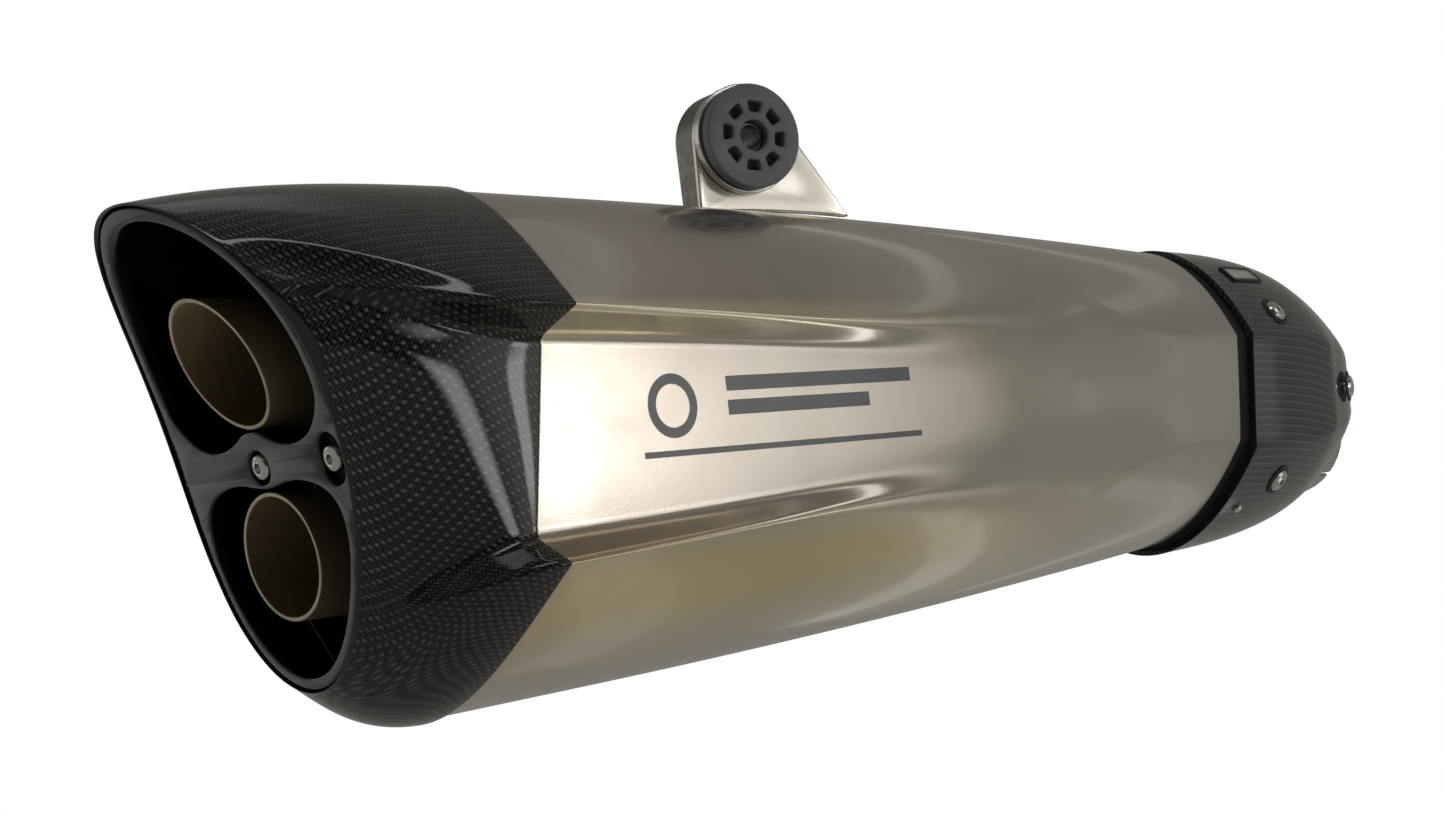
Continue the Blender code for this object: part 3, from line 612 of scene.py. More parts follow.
def carbon_finish(name, light, dark):
    """2x2 twill carbon under clear lacquer, with its tows at 45 degrees to the crown line. Its colour is a
    painted sheen on the tows.
    """
    mat = Finish(
        name, Metallic=0.45, Coat_Weight=1.0, Coat_Roughness=0.035, Coat_IOR=1.42, Specular_IOR_Level=0.12
    )
    source = mat.add("UVMap")
    source.uv_map = "weave"
    u, v, _ = mat.split(source.outputs[0])
    tows = math.sqrt(0.5) / TOW
    warp = mat.plus(mat.times(u, tows), mat.times(v, tows))
    weft = mat.minus(mat.times(u, tows), mat.times(v, tows))
    cells = mat.plus(mat.maths("FLOOR", warp), mat.maths("FLOOR", weft))
    phase = mat.maths("FLOORED_MODULO", cells, 4.0)
    warp_top = mat.maths("LESS_THAN", phase, 1.5)
    warp_part, weft_part = mat.maths("FRACT", warp), mat.maths("FRACT", weft)
    over = tow_height(mat, warp_part, mat.plus(phase, weft_part))
    under = tow_height(mat, weft_part, mat.plus(mat.minus(phase, 2.0), warp_part))
    height = mat.plus(mat.times(over, warp_top), mat.times(under, mat.minus(1.0, warp_top)))
    mottle = mat.ranged(mat.noise(260.0, 2.0), 0.3, 0.7, 0.72, 1.15)
    # Painted sheen: lighter towards each tow's crown, and the weft floats darker than the warp floats.
    glow = mat.times(mat.maths("POWER", height, 2.6), mottle)
    painted_sheen = mat.times(glow, mat.ranged(warp_top, 0.0, 1.0, 0.35, 1.0))
    gloss = mat.ranged(height, 0.0, 1.0, 0.55, 0.33)
    relief = mat.bump(height, 0.75, 0.0005)
    return mat.dress(Base_Color=mat.blend(painted_sheen, dark, light), Roughness=gloss, Normal=relief)


def plastic_finish(name, light, dark, roughness, scale, strength, coat=0.0):
    """Moulded rubber or plastic: fine grain, faint dust and uneven sheen."""
    level = 0.5 - 0.35 * coat
    mat = Finish(name, Coat_Weight=coat, Coat_Roughness=0.08, Specular_IOR_Level=level)
    dust = mat.ranged(mat.noise(45.0, 4.0), 0.40, 0.75)
    gloss = mat.ranged(mat.noise(130.0, 3.0), 0.2, 0.8, roughness * 0.85, roughness * 1.15)
    grain = mat.bump(mat.noise(scale, 3.0), strength)
    return mat.dress(Base_Color=mat.blend(dust, dark, light), Roughness=gloss, Normal=grain)


def wool_finish():
    mat = Finish("packing_wool", Roughness=0.95)
    fibres = mat.noise(180.0, 6.0, (0.3, 1.0, 1.0))
    colour = mat.blend(fibres, (0.62, 0.59, 0.50), (0.80, 0.78, 0.71))
    return mat.dress(Base_Color=colour, Normal=mat.bump(fibres, 0.8, 0.002))


# --- The can ---
def make_sleeve():
    stations = [SLEEVE_START, 0.004, *(0.012 + 0.0125 * k for k in range(28)), 0.360, 0.368, SLEEVE_LENGTH]
    outer = [sleeve_ring(x) for x in stations]
    inner = [sleeve_ring(x, -SLEEVE_WALL) for x in reversed(stations)]
    count = len(outer[0])
    ends = (0, len(stations) - 1, len(stations), 2 * len(stations) - 1)

    def crease(ring, point, lengthwise):
        if not lengthwise:
            return 1.0 if ring in ends else 0.0
        x = (stations + stations[::-1])[ring]
        line = line_number(point, count)
        fade = 1 - smoothstep(0.10, RIDGE_END + 0.005, x)
        facet = smoothstep(FLAT_START, 0.285, x)
        if line == RIDGE_LINE:
            return 0.92 * fade
        if line == FOOT_LINE:
            return 0.45 * fade
        return 0.95 * facet if line == CROWN_STEPS else 0.0

    piece = shell("sleeve_skin", outer + inner, [TITANIUM], crease)
    settle(piece, "outer_sleeve")


def make_seam_band():
    width = COVER_START - SLEEVE_LENGTH - 2 * GAP
    outer = [sleeve_ring(SLEEVE_LENGTH, -BAND_SUNK, GAP + width * t) for t in (0, 0.5, 1)]
    inner = [sleeve_ring(SLEEVE_LENGTH, -BAND_INSET - BAND_WALL, GAP + width * t) for t in (1, 0.5, 0)]
    count = len(outer[0])

    def crease(ring, point, lengthwise):
        if lengthwise:
            return 0.9 if line_number(point, count) == CROWN_STEPS else 0.0
        return 0.0 if ring in (1, 4) else 1.0

    piece = shell("seam_band_skin", outer + inner, [SEAM_RUBBER], crease)
    settle(piece, "seam_band")
    near, far = COVER_START + 0.0004, COVER_START + 0.0024
    lip = [cover_ring(x, -COVER_WALL - GAP) for x in (near, far)]
    foot = [cover_ring(x, -COVER_WALL - LIP_HEIGHT) for x in (far, near)]
    extra(shell("seam_band_lip", lip + foot, [SEAM_RUBBER], levels=0))


def make_tubes():
    for name, (axis_z, cut_x, slope) in TUBES.items():
        rings = []
        for radius in (TUBE_RADIUS, TUBE_RADIUS - TUBE_WALL):
            end = circle(Vector((TUBE_INNER_END, 0, axis_z)), radius, TUBE_SIDES)
            mouth = [Vector((cut_x + slope * (p.z - axis_z), p.y, p.z)) for p in end]
            rings += [end, mouth]
        rings[2:] = reversed(rings[2:])
        finishes = [TUBE_STEEL, BRIGHT_EDGE]
        piece = shell(name + "_skin", rings, finishes, finish_of=lambda r: int(r == 1), levels=0)
        soft_edges(piece, 0.0003, segments=2)
        settle(piece, name)


# --- Outlet end ---
def rim_x(z):
    """Where the slanted, slightly curved mouth of the end cap lies at height z."""
    return -0.0545 - 0.2336 * z - 2.5 * z * z - 25.6 * z**3


# Degrees from the vertical, in the upper and lower half, where the crease, ridge and foot lines end.
OPENING_ANGLES = {True: (38, 63.5, 66), False: (34, 46.5, 51)}


def opening_point(angle, upper, grow):
    power, reach = (2.8, OPENING_UP) if upper else (2.0, OPENING_DOWN)
    y = OPENING_WIDTH * math.sin(angle)
    z = reach * math.cos(angle) ** (2 / power)
    return (y + grow * math.sin(angle), z + grow * math.cos(angle))


def opening_outline(grow=0.0):
    """The opening as (y, z), point for point beside the sleeve's outline."""
    total = RIDGE_LINE + PANEL_STEPS + 1
    half = {}
    for upper, (crease, ridge, foot) in OPENING_ANGLES.items():
        stops = ((0, 0.0), (CROWN_STEPS, crease), (RIDGE_LINE, ridge), (FOOT_LINE, foot), (total, 90.0))
        points = []
        for k in range(total + 1):
            (k0, a0), (k1, a1) = next(p for p in zip(stops, stops[1:]) if p[0][0] <= k <= p[1][0])
            y, z = opening_point(math.radians(lerp(a0, a1, (k - k0) / (k1 - k0))), upper, grow)
            points.append((y, OPENING_CENTRE + (z if upper else -z)))
        half[upper] = points
    return closed(half[True], half[False])


WIDE_MOUTH = 0.006  # how much an outline grows to show which way the shoulder spreads


def shoulder(y, z):
    """Width of the shoulder beside the mouth, which swells below the upper ridge."""
    beside = smoothstep(0.028, 0.034, abs(y))
    return 0.0032 * beside * smoothstep(0.046, 0.034, z) * smoothstep(0.014, 0.026, z)


def cap_paths():
    """For each outline point, the four handles of the curve from the seam to the mouth."""
    outlines = (sleeve_outline(0.0, CAP_PROUD), opening_outline(RIM_WALL), opening_outline(WIDE_MOUTH))
    paths = []
    for (sy, sz), (my, mz), (wy, wz) in zip(*outlines):
        start = Vector((SLEEVE_START + REAR_RAKE * sz - GAP, sy, sz))
        wide = shoulder(my, mz)
        share = wide / WIDE_MOUTH
        end = Vector((rim_x(mz) + 0.0008 + wide * 0.55, lerp(my, wy, share), lerp(mz, wz, share)))
        length = start.x - end.x
        down = clamp01(-mz / (OPENING_DOWN - OPENING_CENTRE))
        rise = (mz - OPENING_CENTRE) / OPENING_UP
        outward = Vector((0, my, rise**3 * OPENING_UP)).normalized()
        lean = lerp(0.22, 0.75, down**2)
        start_pull = start + Vector((-0.42 * length, 0, 0))
        end_pull = end + (Vector((1, 0, 0)) + outward * lean) * (0.30 * length)
        paths.append((start, start_pull, end_pull, end))
    return paths


def bezier(handles, t):
    a, b, c, d = handles
    s = 1 - t
    return a * s**3 + b * (3 * s * s * t) + c * (3 * s * t * t) + d * t**3


def shell_inside(ring, depth):
    outline = offset([(p.y, p.z) for p in ring], -depth)
    return [Vector((p.x, y, z)) for p, (y, z) in zip(ring, outline)]


CAP_STEPS = (0.0, 0.02, 0.10, 0.20, 0.30, 0.40, 0.50, 0.60, 0.70, 0.80, 0.90, 1.0)


def make_end_cap():
    paths = cap_paths()
    count = len(paths)
    outer = [[bezier(path, t) for path in paths] for t in CAP_STEPS]
    for t, ring in zip(CAP_STEPS, outer):
        hollow = 0.0012 * smoothstep(0.25, 0.7, t) * (1 - smoothstep(0.85, 1.0, t))
        for k, point in enumerate(ring):
            line = line_number(k, count)
            if EDGE_LINE < line < RIDGE_LINE and point.z > 0:
                point.y -= math.copysign(hollow, point.y)
                point.z -= hollow
    lip = [Vector((rim_x(z), y, z)) for y, z in opening_outline(RIM_WALL / 2)]
    mouth = [Vector((rim_x(z) + 0.0006, y, z)) for y, z in opening_outline()]
    inner = [shell_inside(ring, CAP_WALL) for ring in outer[:-2]]
    last = len(CAP_STEPS) - 1

    def crease(ring, point, lengthwise):
        if not lengthwise:
            return 1.0 if ring in (0, len(outer) + 1 + len(inner)) else (0.5 if ring == last else 0.0)
        if ring > last:
            return 0.0
        t = CAP_STEPS[ring]
        line = line_number(point, count)
        top = point <= count // 4 or point >= 3 * count // 4
        if line == RIDGE_LINE:
            return (0.93 if top else 0.85) * (1 - smoothstep(0.75, 1.0, t) * 0.5)
        if line == FOOT_LINE:
            return 0.60 * (1 - smoothstep(0.45, 0.75, t))
        if line == EDGE_LINE and top:
            return 0.75 * smoothstep(0.30, 0.55, t)
        return 0.0

    rings = outer + [lip, mouth] + inner[::-1]
    piece = shell("end_cap_shell", rings, [CARBON, GLOSS_BLACK], crease, lambda r: int(r >= last))
    settle(piece, "end_cap")


# The insert's window edges along the web, from the middle to the side: (y, z).
UPPER_WINDOW = (
    (0, 0.0084), (0.004, 0.0080), (0.008, 0.0059), (0.014, 0.0042), (0.020, 0.0040),
    (0.0265, 0.0058), (0.032, 0.0105), (0.0355, 0.016),
)
LOWER_WINDOW = (
    (0, -0.0070), (0.004, -0.0067), (0.010, -0.0056), (0.017, -0.0055),
    (0.025, -0.0074), (0.030, -0.011), (0.0322, -0.016),
)
RIM_BAND = 0.0036
WINDOW_SIDE = 0.020
INSERT_BACK = 0.0008  # how far the insert's face lies inside the mouth
INSERT_DEPTH = 0.0045
RECESS_Z = -0.0012
RECESSES = (("near", -0.0335, 0.0022), ("middle", 0.0, 0.0))
RECESS_RADIUS = 0.0046
RECESS_FLOOR = 0.0026  # how deep the screws sit
INSERT_OUTWARD = Vector((-1, 0, -0.2336)).normalized()


def smoothed(points, radius):
    """A closed outline with each corner rounded within radius of its point."""
    made = []
    for i, (y, z) in enumerate(points):
        corner = Vector((y, z))
        before, after = Vector(points[i - 1]), Vector(points[(i + 1) % len(points)])
        start = corner.lerp(before, min(radius / (before - corner).length, 0.45))
        end = corner.lerp(after, min(radius / (after - corner).length, 0.45))
        for k in range(CORNER_STEPS + 1):
            t = k / CORNER_STEPS
            made.append(tuple(start * (1 - t) ** 2 + corner * (2 * t * (1 - t)) + end * t * t))
    return made


def insert_windows():
    windows = []
    for web_edge, side in ((UPPER_WINDOW, 1), (LOWER_WINDOW, -1)):
        rim = [(-y, z) for y, z in opening_outline(-RIM_BAND) if y <= 1e-6 and side * z > WINDOW_SIDE]
        rim.sort(key=lambda point: side * point[1])
        half = [*web_edge, *rim]
        windows.append(smoothed(half + [(-y, z) for y, z in reversed(half[1:-1])], 0.004))
    return windows


def recess_outline(y, stretch):
    """A round recess, or a long one where stretch is more than nothing."""
    ring = flat_circle(RECESS_RADIUS, 28)
    return [(y + a, RECESS_Z + b + math.copysign(stretch, b)) for a, b in ring]


def on_insert(y, z, depth):
    return Vector((rim_x(z) + INSERT_BACK + depth, y, z))


def on_recess_floor(y, z, depth):
    return on_insert(y, z, depth + RECESS_FLOOR + 0.0006)


def make_insert():
    outline = opening_outline(-0.0003)
    recesses = [recess_outline(y, stretch) for _, y, stretch in RECESSES]
    cuts = [0.0035 * k for k in range(-18, 20)]
    loops = [outline, *insert_windows(), *recesses]
    piece = plate("outlet_insert_frame", loops, INSERT_DEPTH, 0.0006, on_insert, GLOSS_BLACK, cuts)
    settle(piece, "outlet_insert")
    for (side, _, _), recess in zip(RECESSES, recesses):
        spread = [(y + (y - recess[0][0]) * 0.02, z) for y, z in recess]
        floor = plate("recess_floor_" + side, [spread], 0.0012, 0.0001, on_recess_floor, SATIN_BLACK)
        extra(floor)
        refined("insert_screw_" + side, SCREW_STEEL, 0.0002, INSERT_OUTWARD * -RECESS_FLOOR)


# --- Inlet end ---
def cover_quadrant(x):
    half, corner_y, corner_z = along(COVER_STATIONS, x)
    corner_y -= 0.0013 * smoothstep(FACET_END, 0.463, x) * (1 - smoothstep(0.472, COVER_END, x))
    points = []
    for i in range(CROWN_STEPS + 1):
        t = i / CROWN_STEPS
        drop = (1 - COVER_BEND) * t * t + COVER_BEND * t**4
        points.append((corner_y * t, half - (half - corner_z) * drop))
    return points + [(corner_y, corner_z * (1 - i / PANEL_STEPS)) for i in range(1, PANEL_STEPS + 1)]


def cover_lean(x):
    return lerp(FRONT_RAKE, 0.0, clamp01((x - COVER_START) / (COVER_END - COVER_START)))


def cover_ring(x, grow=0.0):
    outline = offset(mirrored(cover_quadrant(x)), grow)
    return [Vector((x + cover_lean(x) * z, y, z + COVER_CENTRE)) for y, z in outline]


def on_cover(x, z, side):
    """A point of the cover's outer face and its outward normal, on the near (-1) or far (1) side."""

    def at(px, pz):
        half, corner_y, corner_z = along(COVER_STATIONS, px)
        depth = clamp01((half - abs(pz)) / (half - corner_z))
        root = math.sqrt((1 - COVER_BEND) ** 2 + 4 * COVER_BEND * depth)
        share = math.sqrt(max((root - (1 - COVER_BEND)) / (2 * COVER_BEND), 0.0))
        return Vector((px, side * corner_y * share, pz))

    step = 0.0008
    place = at(x, z)
    normal = (at(x + step, z) - at(x - step, z)).cross(at(x, z + step) - at(x, z - step))
    if normal.y * side < 0:
        normal.negate()
    return place + Vector((cover_lean(x) * z, 0, COVER_CENTRE)), normal.normalized()


COVER_SCREWS = (("upper", 0.4125, 0.0328), ("lower", 0.4135, -0.0380), ("nose", 0.4760, -0.0010))
CUP_PROFILE = ((-0.0004, 0.0052), (-0.0004, 0.0070), (0.0004, 0.0068), (0.0004, 0.0056))
SCREW_SINK = 0.0009  # how much deeper than in the CAD the cover screws' heads sit
BADGE_PLACE = (0.412, 0.0505)
BADGE_SLANT = 0.72  # the flank's height gained for each length up along it
BADGE_CUTS = [0.0012 * k for k in range(-4, 5)]
COVER_RINGS = (
    COVER_START, 0.3815, 0.390, 0.402, 0.416, 0.430, 0.442, FACET_END, 0.464, 0.474, 0.483, 0.490, COVER_END
)


def make_cover():
    outer = [cover_ring(x) for x in COVER_RINGS]
    inner = [cover_ring(x, -COVER_WALL) for x in reversed(COVER_RINGS)]
    count, total = len(outer[0]), len(COVER_RINGS)
    edge_ring = COVER_RINGS.index(FACET_END)

    def crease(ring, point, lengthwise):
        line = line_number(point, count)
        if not lengthwise:
            if ring in (0, total - 1, total, 2 * total - 1):
                return 1.0
            nxt = line_number((point + 1) % count, count)
            return 0.75 if ring == edge_ring and line >= CROWN_STEPS and nxt >= CROWN_STEPS else 0.0
        return 0.85 if ring < edge_ring and line == CROWN_STEPS else 0.0

    piece = shell("front_cover_shell", outer + inner, [COVER_CARBON], crease)
    settle(piece, "front_cover")
    cut_pipe_path(piece)
    for side_name, side in (("near", -1), ("far", 1)):
        for name, x, z in COVER_SCREWS:
            place, outward = on_cover(x, z, side)
            cup = turned(f"screw_cup_{side_name}_{name}", CUP_PROFILE, SATIN_BLACK, place, outward, sides=40)
            extra(cup)
            sunk = outward * -SCREW_SINK
            refined(f"cover_screw_{side_name}_{name}", SCREW_STEEL, 0.0002, sunk)
        refined("cover_rivet_" + side_name, SCREW_STEEL, 0.0001)


def cut_pipe_path(piece):
    """Scallops the cover's edge where the inlet pipe leaves it."""
    start, end = (Vector((x, 0, INLET_Z)) for x in PIPE_CLEAR_RUN)
    core = 0.001
    rows = ((start, core), (start, PIPE_CLEARANCE), (end, PIPE_CLEARANCE), (end, core))
    tool = shell("pipe_clearance", [circle(middle, r, 96) for middle, r in rows], [], levels=0)
    step = piece.modifiers.new("clearance", "BOOLEAN")
    step.operation = "DIFFERENCE"
    step.solver = "EXACT"
    step.object = tool
    bpy.context.view_layer.update()
    shown = bpy.data.meshes.new_from_object(piece.evaluated_get(bpy.context.evaluated_depsgraph_get()))
    piece.modifiers.clear()
    piece.data = shown
    bpy.data.objects.remove(tool)
    shown.set_sharp_from_angle(angle=math.radians(45))


def rounded_rectangle(half_a, half_b, radius):
    points = []
    for turn, (side_a, side_b) in enumerate(((1, 1), (-1, 1), (-1, -1), (1, -1))):
        for a, b in arc(radius, range(90 * turn, 90 * turn + 91, 18)):
            points.append((side_a * (half_a - radius) + a, side_b * (half_b - radius) + b))
    return points


def on_badge(height):
    """Where a badge plate lies whose top is this far above the cover."""

    def place(a, b, depth):
        point, outward = on_cover(BADGE_PLACE[0] + a, BADGE_PLACE[1] + b * BADGE_SLANT, -1)
        return point + outward * (height - depth)

    return place


def make_badge():
    """A blank light plate in a shallow dark frame."""
    loops = [rounded_rectangle(0.0145, 0.0048, 0.0014), rounded_rectangle(0.0128, 0.0033, 0.0010)]
    surround = plate("badge_frame", loops, 0.0012, 0.0003, on_badge(0.0008), SATIN_BLACK, BADGE_CUTS)
    extra(surround)
    loops = [rounded_rectangle(0.0127, 0.0032, 0.0009)]
    blank = plate("badge_plate", loops, 0.0008, 0.0001, on_badge(0.0005), BADGE_PLAIN, BADGE_CUTS)
    settle(blank, "name_badge")


# --- Hanger ---
ALONG = Vector((math.cos(HANGER_TURN), -math.sin(HANGER_TURN), 0))
OUT = Vector((-math.sin(HANGER_TURN), -math.cos(HANGER_TURN), 0))
UP = Vector((0, 0, 1))


def hanger_point(s, height, back):
    return HANGER + ALONG * s + UP * height - OUT * back


def base_height(s, back):
    """How high over the damper's centre the sleeve's skin is, below a point of the plate."""
    p = hanger_point(s, 0, back)
    lean = lerp(REAR_RAKE, FRONT_RAKE, p.x / SLEEVE_LENGTH)
    station = p.x - lean * crown_z(p.x, abs(p.y))
    return crown_z(station, abs(p.y)) + 2 * GAP - HANGER.z


def make_bracket():
    back = PLATE_BACK + PLATE_THICK
    outline = arc(HEAD_RADIUS, range(180, 49, -4))
    outline += [(s, base_height(s, back)) for s in (lerp(BASE_RIGHT, BASE_LEFT, k / 12) for k in range(13))]

    def laid(s, h, depth):
        return hanger_point(s, h, PLATE_BACK + depth)

    loops = [outline, flat_circle(SEAT_BORE, 64)]
    face = plate("bracket_plate", loops, PLATE_THICK, 0.0005, laid, BRACKET_TITANIUM)
    settle(face, "hanger_bracket")
    make_strap(back)
    make_weld()


def make_strap(back):
    """The return flange: a strip behind the plate's left edge and round the head's top."""
    wall = 0.0018
    low = base_height(BASE_LEFT, back) + GAP
    path = [(-HEAD_RADIUS, low * k / 6) for k in range(6, 0, -1)]
    path += arc(HEAD_RADIUS, range(180, 94, -5))
    rings = []
    for s, h in path:
        share = 1 - wall / math.hypot(s, h)
        inner = (s * share, h * share) if h > 0 else (s + wall, h)
        deep = back + lerp(FLANGE_LOW, FLANGE_HIGH, clamp01(1 - h / low))
        front = back - 0.0006
        corners = ((s, h, front), (s, h, deep), (*inner, deep), (*inner, front))
        rings.append([hanger_point(*corner) for corner in corners])
    piece = capped("bracket_strap", rings, STRAP_TITANIUM)
    extra(soft_edges(piece, 0.0005, angle=40))


def capped(name, rings, finish):
    """A solid bar through rings of equal counts, closed at both ends."""
    shaped = bmesh.new()
    corners = [[shaped.verts.new(p - HANGER) for p in ring] for ring in rings]
    for low, high in zip(corners, corners[1:]):
        for k in range(len(low)):
            shaped.faces.new((low[k - 1], low[k], high[k], high[k - 1]))
    for end in (corners[0], corners[-1]):
        shaped.faces.new(end)
    mesh = mesh_of(name, shaped)
    mesh.shade_smooth()
    return add_piece(name, mesh, [finish])


def make_weld():
    """A rippled weld bead along the foot of the bracket's plate."""
    steps, sides = 96, 10
    rings = []
    for i in range(steps + 1):
        s = lerp(BASE_LEFT + 0.001, BASE_RIGHT - 0.001, i / steps)
        ripple = 0.00060 + 0.00008 * math.sin(i * 1.55)
        end = min(i, steps - i, 3) / 3
        middle = hanger_point(s, base_height(s, PLATE_BACK) + 0.0003, PLATE_BACK - 0.0001)
        rings.append(circle(middle, ripple * lerp(0.35, 1.0, end), sides, OUT, UP))
    extra(capped("bracket_weld", rings, WELD_METAL))


def make_damper():
    loops = [flat_circle(DAMPER_FACE, 96), flat_circle(DAMPER_BORE, 48)]
    for k in range(8):
        turn = Matrix.Rotation(math.radians(45 * k - 7), 2)
        corners = [turn @ Vector((DAMPER_WINDOW_OUT + a, b)) for a, b in DAMPER_WINDOW]
        loops.append(smoothed(corners, 0.0009))
    face = plate("damper_face", loops, SEAT_FRONT - GAP, 0.0006, hanger_point, DAMPER_RUBBER)
    settle(face, "rubber_damper")
    front, rear, neck, rim = GAP - SEAT_FRONT, -PLATE_BACK - PLATE_THICK - GAP, SEAT_BORE - GAP, 0.0155
    profile = ((front, DAMPER_BORE), (front, neck), (rear, neck), (rear, rim))
    profile += ((rear - 0.0035, rim), (rear - 0.0035, DAMPER_BORE))
    extra(turned("damper_neck", profile, DAMPER_RUBBER, HANGER, OUT))
    refined("damper_seat", SCREW_STEEL, 0.0004)
    refined("damper_bush", BUSH_STEEL, 0.0002)


# --- Stage ---
MIDDLE = Vector((0.17, 0, 0))  # what the lights face
FLOOR_DROP = 1.30  # from the silencer's axis down to the floor
WHITE = (1, 1, 1)


def soften(light, edge):
    """Fades a softbox towards its sides, over this share of its half width."""
    nodes = Nodes(light)
    spread = nodes.split(nodes.add("NewGeometry").outputs["Parametric"])[:2]
    arches = [nodes.maths("SINE", nodes.times(side, math.pi)) for side in spread]
    strength = nodes.times(*(nodes.ranged(arch, 0.0, edge) for arch in arches))
    nodes.feed(nodes.tree.nodes["Emission"], Strength=strength)


def softbox(name, azimuth, elevation, size, size_y, radiance, distance=1.5, colour=WHITE, edge=0.7):
    """A rectangular light. Azimuth 0 is in front of the name panel and 90 beyond the inlet."""
    light = bpy.data.lights.new(name, "AREA")
    light.shape = "RECTANGLE"
    light.size = size
    light.size_y = size_y
    light.energy = radiance * math.pi * size * size_y
    light.color = colour
    soften(light, edge)
    turn, rise = math.radians(azimuth), math.radians(elevation)
    flat = math.cos(rise)
    away = Vector((math.sin(turn) * flat, -math.cos(turn) * flat, math.sin(rise))) * distance
    holder = in_scene(name, light)
    holder.location = MIDDLE + away - HANGER
    holder.rotation_euler = (-away).to_track_quat("-Z", "Y").to_euler()
    holder.visible_camera = False


def make_lights():
    """A key in a wide glow, faint hoops across the axis, lights for single edges, and dim fills."""
    softbox("key", 26, 3, 0.16, 0.26, 5.2, colour=(1.0, 0.985, 0.96))
    softbox("key_glow", 27, 3, 1.33, 0.80, 0.98, distance=1.52, colour=(1.0, 0.99, 0.97), edge=1.0)
    softbox("cap_streak", 5, -1, 0.30, 0.42, 5.4, colour=(0.92, 0.97, 1.0), edge=1.0)
    softbox("bracket_fill", 12, 18, 0.50, 0.26, 3.2, edge=1.0)
    hoops = ((50, 0.10, 0.20, 0.10, 0.20), (36, 0.045, 0.42, 0.085, 0.46), (27, 0.035, 0.30, 0.045, 0.30))
    for number, (height, high, upper, low, lower) in enumerate(hoops):
        softbox(f"upper_bar_{number}", 99, height, 0.95, high, upper, edge=0.25)
        softbox(f"lower_bar_{number}", 99, -height, 0.95, low, lower, edge=0.25)
    softbox("side_window_1", 48, 2, 0.09, 0.28, 0.20, edge=0.2)
    softbox("side_window_2", 65, 0.5, 0.06, 0.16, 0.25)
    for side in (-1, 1):
        softbox(f"edge_light_{side}", 58, 31 * side, 0.38, 0.20, 1.9)
    softbox("mouth_fill", -150, -12, 1.3, 1.1, 0.25, distance=2.0)
    softbox("ridge_light", -20, 66, 0.9, 0.30, 3.6, distance=1.4)
    softbox("top_fill", 180, 62, 1.8, 0.9, 0.30, distance=1.8)
    softbox("far_fill", 200, 18, 1.2, 1.0, 0.5, distance=2.0)


def pale_when_seen(nodes, output, kind, **unseen):
    """The camera sees plain white, and a shader with the unseen settings lights the scene."""
    room, white = nodes.add(kind, **unseen).outputs[0], nodes.add(kind, Color=WHITE).outputs[0]
    seen = nodes.add("LightPath").outputs["Is Camera Ray"]
    nodes.add(output, Surface=nodes.fill(nodes.add("MixShader"), seen, room, white))


def make_world():
    """A dim warm room, darker overhead and towards the front left, which the end cap faces."""
    world = bpy.data.worlds.new("studio")
    bpy.context.scene.world = world
    nodes = Nodes(world, empty=True)
    x, y, z = nodes.split(nodes.add("TexCoord").outputs["Generated"])
    colour = nodes.blend(nodes.ranged(z, 0.12, 0.55), (0.262, 0.248, 0.228), (0.172, 0.162, 0.148))
    front_left = nodes.minus(nodes.times(x, -0.5), nodes.times(y, 0.866))
    strength = nodes.ranged(front_left, 0.35, 0.85, 1.0, 0.12)
    pale_when_seen(nodes, "OutputWorld", "Background", Color=colour, Strength=strength)


def make_floor():
    bpy.ops.mesh.primitive_grid_add(x_subdivisions=2, y_subdivisions=2, size=60)
    floor = bpy.context.object
    floor.name = "floor"
    floor.location = (0, 0, -HANGER.z - FLOOR_DROP)
    made = bpy.data.materials.new("pale_floor")
    pale_when_seen(Nodes(made, empty=True), "OutputMaterial", "Emission", Color=(0.245, 0.236, 0.218))
    floor.data.materials.append(made)


CAMERA_LENS = 48.03  # millimetres, on a 36 mm sensor
CAMERA_PLACE = Vector((-0.33228, -0.4446, -0.0143))
CAMERA_RIGHT = Vector((0.69728, -0.71032, -0.09612))
CAMERA_UP = Vector((0.04261, -0.09278, 0.99477))
CAMERA_BACK = Vector((-0.71553, -0.69773, -0.03442))


def make_camera():
    camera = bpy.data.cameras.new("camera")
    camera.lens = CAMERA_LENS
    camera.sensor_width = 36
    camera.clip_start = 0.01
    holder = in_scene("camera", camera)
    turn = Matrix((CAMERA_RIGHT, CAMERA_UP, CAMERA_BACK)).transposed()
    holder.matrix_world = Matrix.Translation(CAMERA_PLACE - HANGER) @ turn.to_4x4()
    bpy.context.scene.camera = holder


# --- The whole scene ---
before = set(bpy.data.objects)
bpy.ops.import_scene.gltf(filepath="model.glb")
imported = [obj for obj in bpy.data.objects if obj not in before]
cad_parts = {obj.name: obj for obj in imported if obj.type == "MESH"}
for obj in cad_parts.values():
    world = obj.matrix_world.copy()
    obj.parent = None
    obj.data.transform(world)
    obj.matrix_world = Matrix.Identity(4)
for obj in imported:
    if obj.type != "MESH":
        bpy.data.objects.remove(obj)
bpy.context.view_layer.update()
bpy.context.scene.view_settings.view_transform = "Standard"

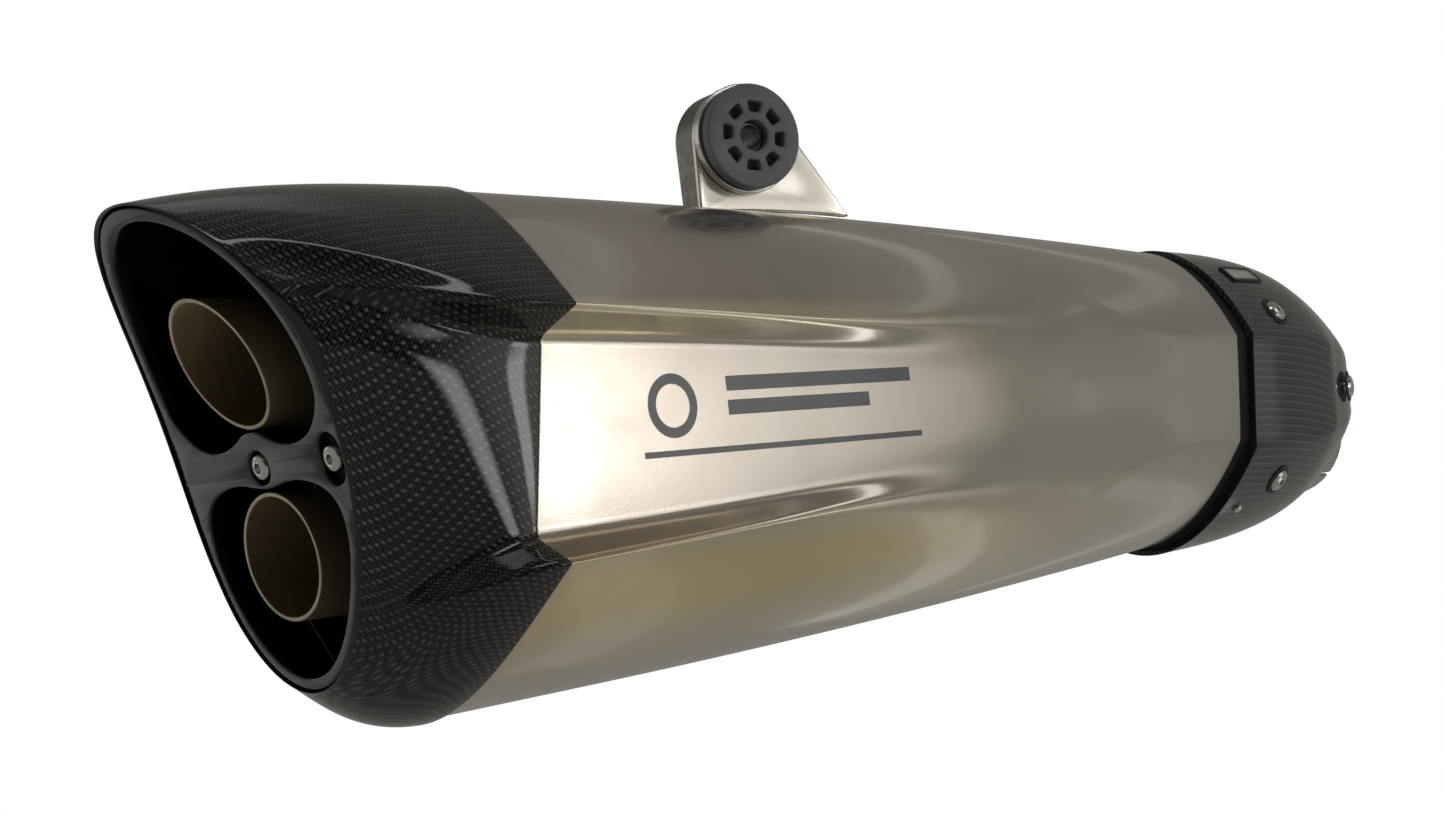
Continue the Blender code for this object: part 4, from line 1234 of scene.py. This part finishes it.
TITANIUM = titanium_finish("satin_titanium", True)
BRACKET_TITANIUM = titanium_finish("bracket_titanium", False)
STRAP_TITANIUM = metal_finish("strap_titanium", (0.24, 0.24, 0.205), (0.17, 0.165, 0.14), 0.38)
WELD_METAL = metal_finish("weld_metal", (0.50, 0.46, 0.38), (0.32, 0.30, 0.27), 0.35, 900.0, 0.2)
PIPE_TITANIUM = metal_finish("pipe_titanium", (0.56, 0.54, 0.50), (0.45, 0.43, 0.39), 0.30)
SCREW_STEEL = metal_finish("screw_steel", (0.72, 0.71, 0.68), (0.55, 0.54, 0.52), 0.22)
BUSH_STEEL = metal_finish("bush_steel", (0.11, 0.11, 0.115), (0.07, 0.07, 0.075), 0.40)
BRIGHT_EDGE = metal_finish("bright_edge", (0.46, 0.41, 0.31), (0.34, 0.30, 0.22), 0.30)
INNER_STEEL = metal_finish("inner_steel", (0.30, 0.27, 0.22), (0.20, 0.18, 0.15), 0.40)
TUBE_STEEL = tube_finish()
# Each carbon's light colour is the colour of its painted sheen on the tows.
CARBON = carbon_finish("carbon_twill", (0.155, 0.147, 0.126), (0.0015, 0.0015, 0.0018))
COVER_CARBON = carbon_finish("cover_twill", (0.230, 0.230, 0.228), (0.005, 0.005, 0.006))
GLOSS_BLACK = plastic_finish(
    "gloss_black", (0.012, 0.012, 0.013), (0.005, 0.005, 0.006), 0.24, 900.0, 0.05, 1.0
)
SATIN_BLACK = plastic_finish("satin_black", (0.022, 0.022, 0.024), (0.012, 0.012, 0.013), 0.42, 1200.0, 0.10)
SEAM_RUBBER = plastic_finish("seam_rubber", (0.010, 0.010, 0.011), (0.005, 0.005, 0.006), 0.85, 1500.0, 0.20)
DAMPER_RUBBER = plastic_finish(
    "damper_rubber", (0.205, 0.212, 0.232), (0.155, 0.161, 0.178), 0.50, 1800.0, 0.15
)
BADGE_PLAIN = plastic_finish("badge_plain", (0.62, 0.61, 0.59), (0.50, 0.49, 0.48), 0.30, 900.0, 0.05, 0.4)
WOOL = wool_finish()

CAD_FINISHES = {
    SATIN_BLACK: ("rear_end_plate",),
    INNER_STEEL: ("rear_baffle", "middle_baffle", "front_end_plate", "perforated_core"),
    WOOL: ("packing_rear", "packing_front"),
    PIPE_TITANIUM: ("front_cone", "inlet_pipe"),
}
for finish, nodes in CAD_FINISHES.items():
    for node in nodes:
        for material_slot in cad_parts[node].material_slots:
            material_slot.material = finish

make_camera()
make_floor()
make_world()
make_lights()
make_sleeve()
make_seam_band()
make_tubes()
make_end_cap()
make_insert()
make_cover()
make_badge()
make_bracket()
make_damper()
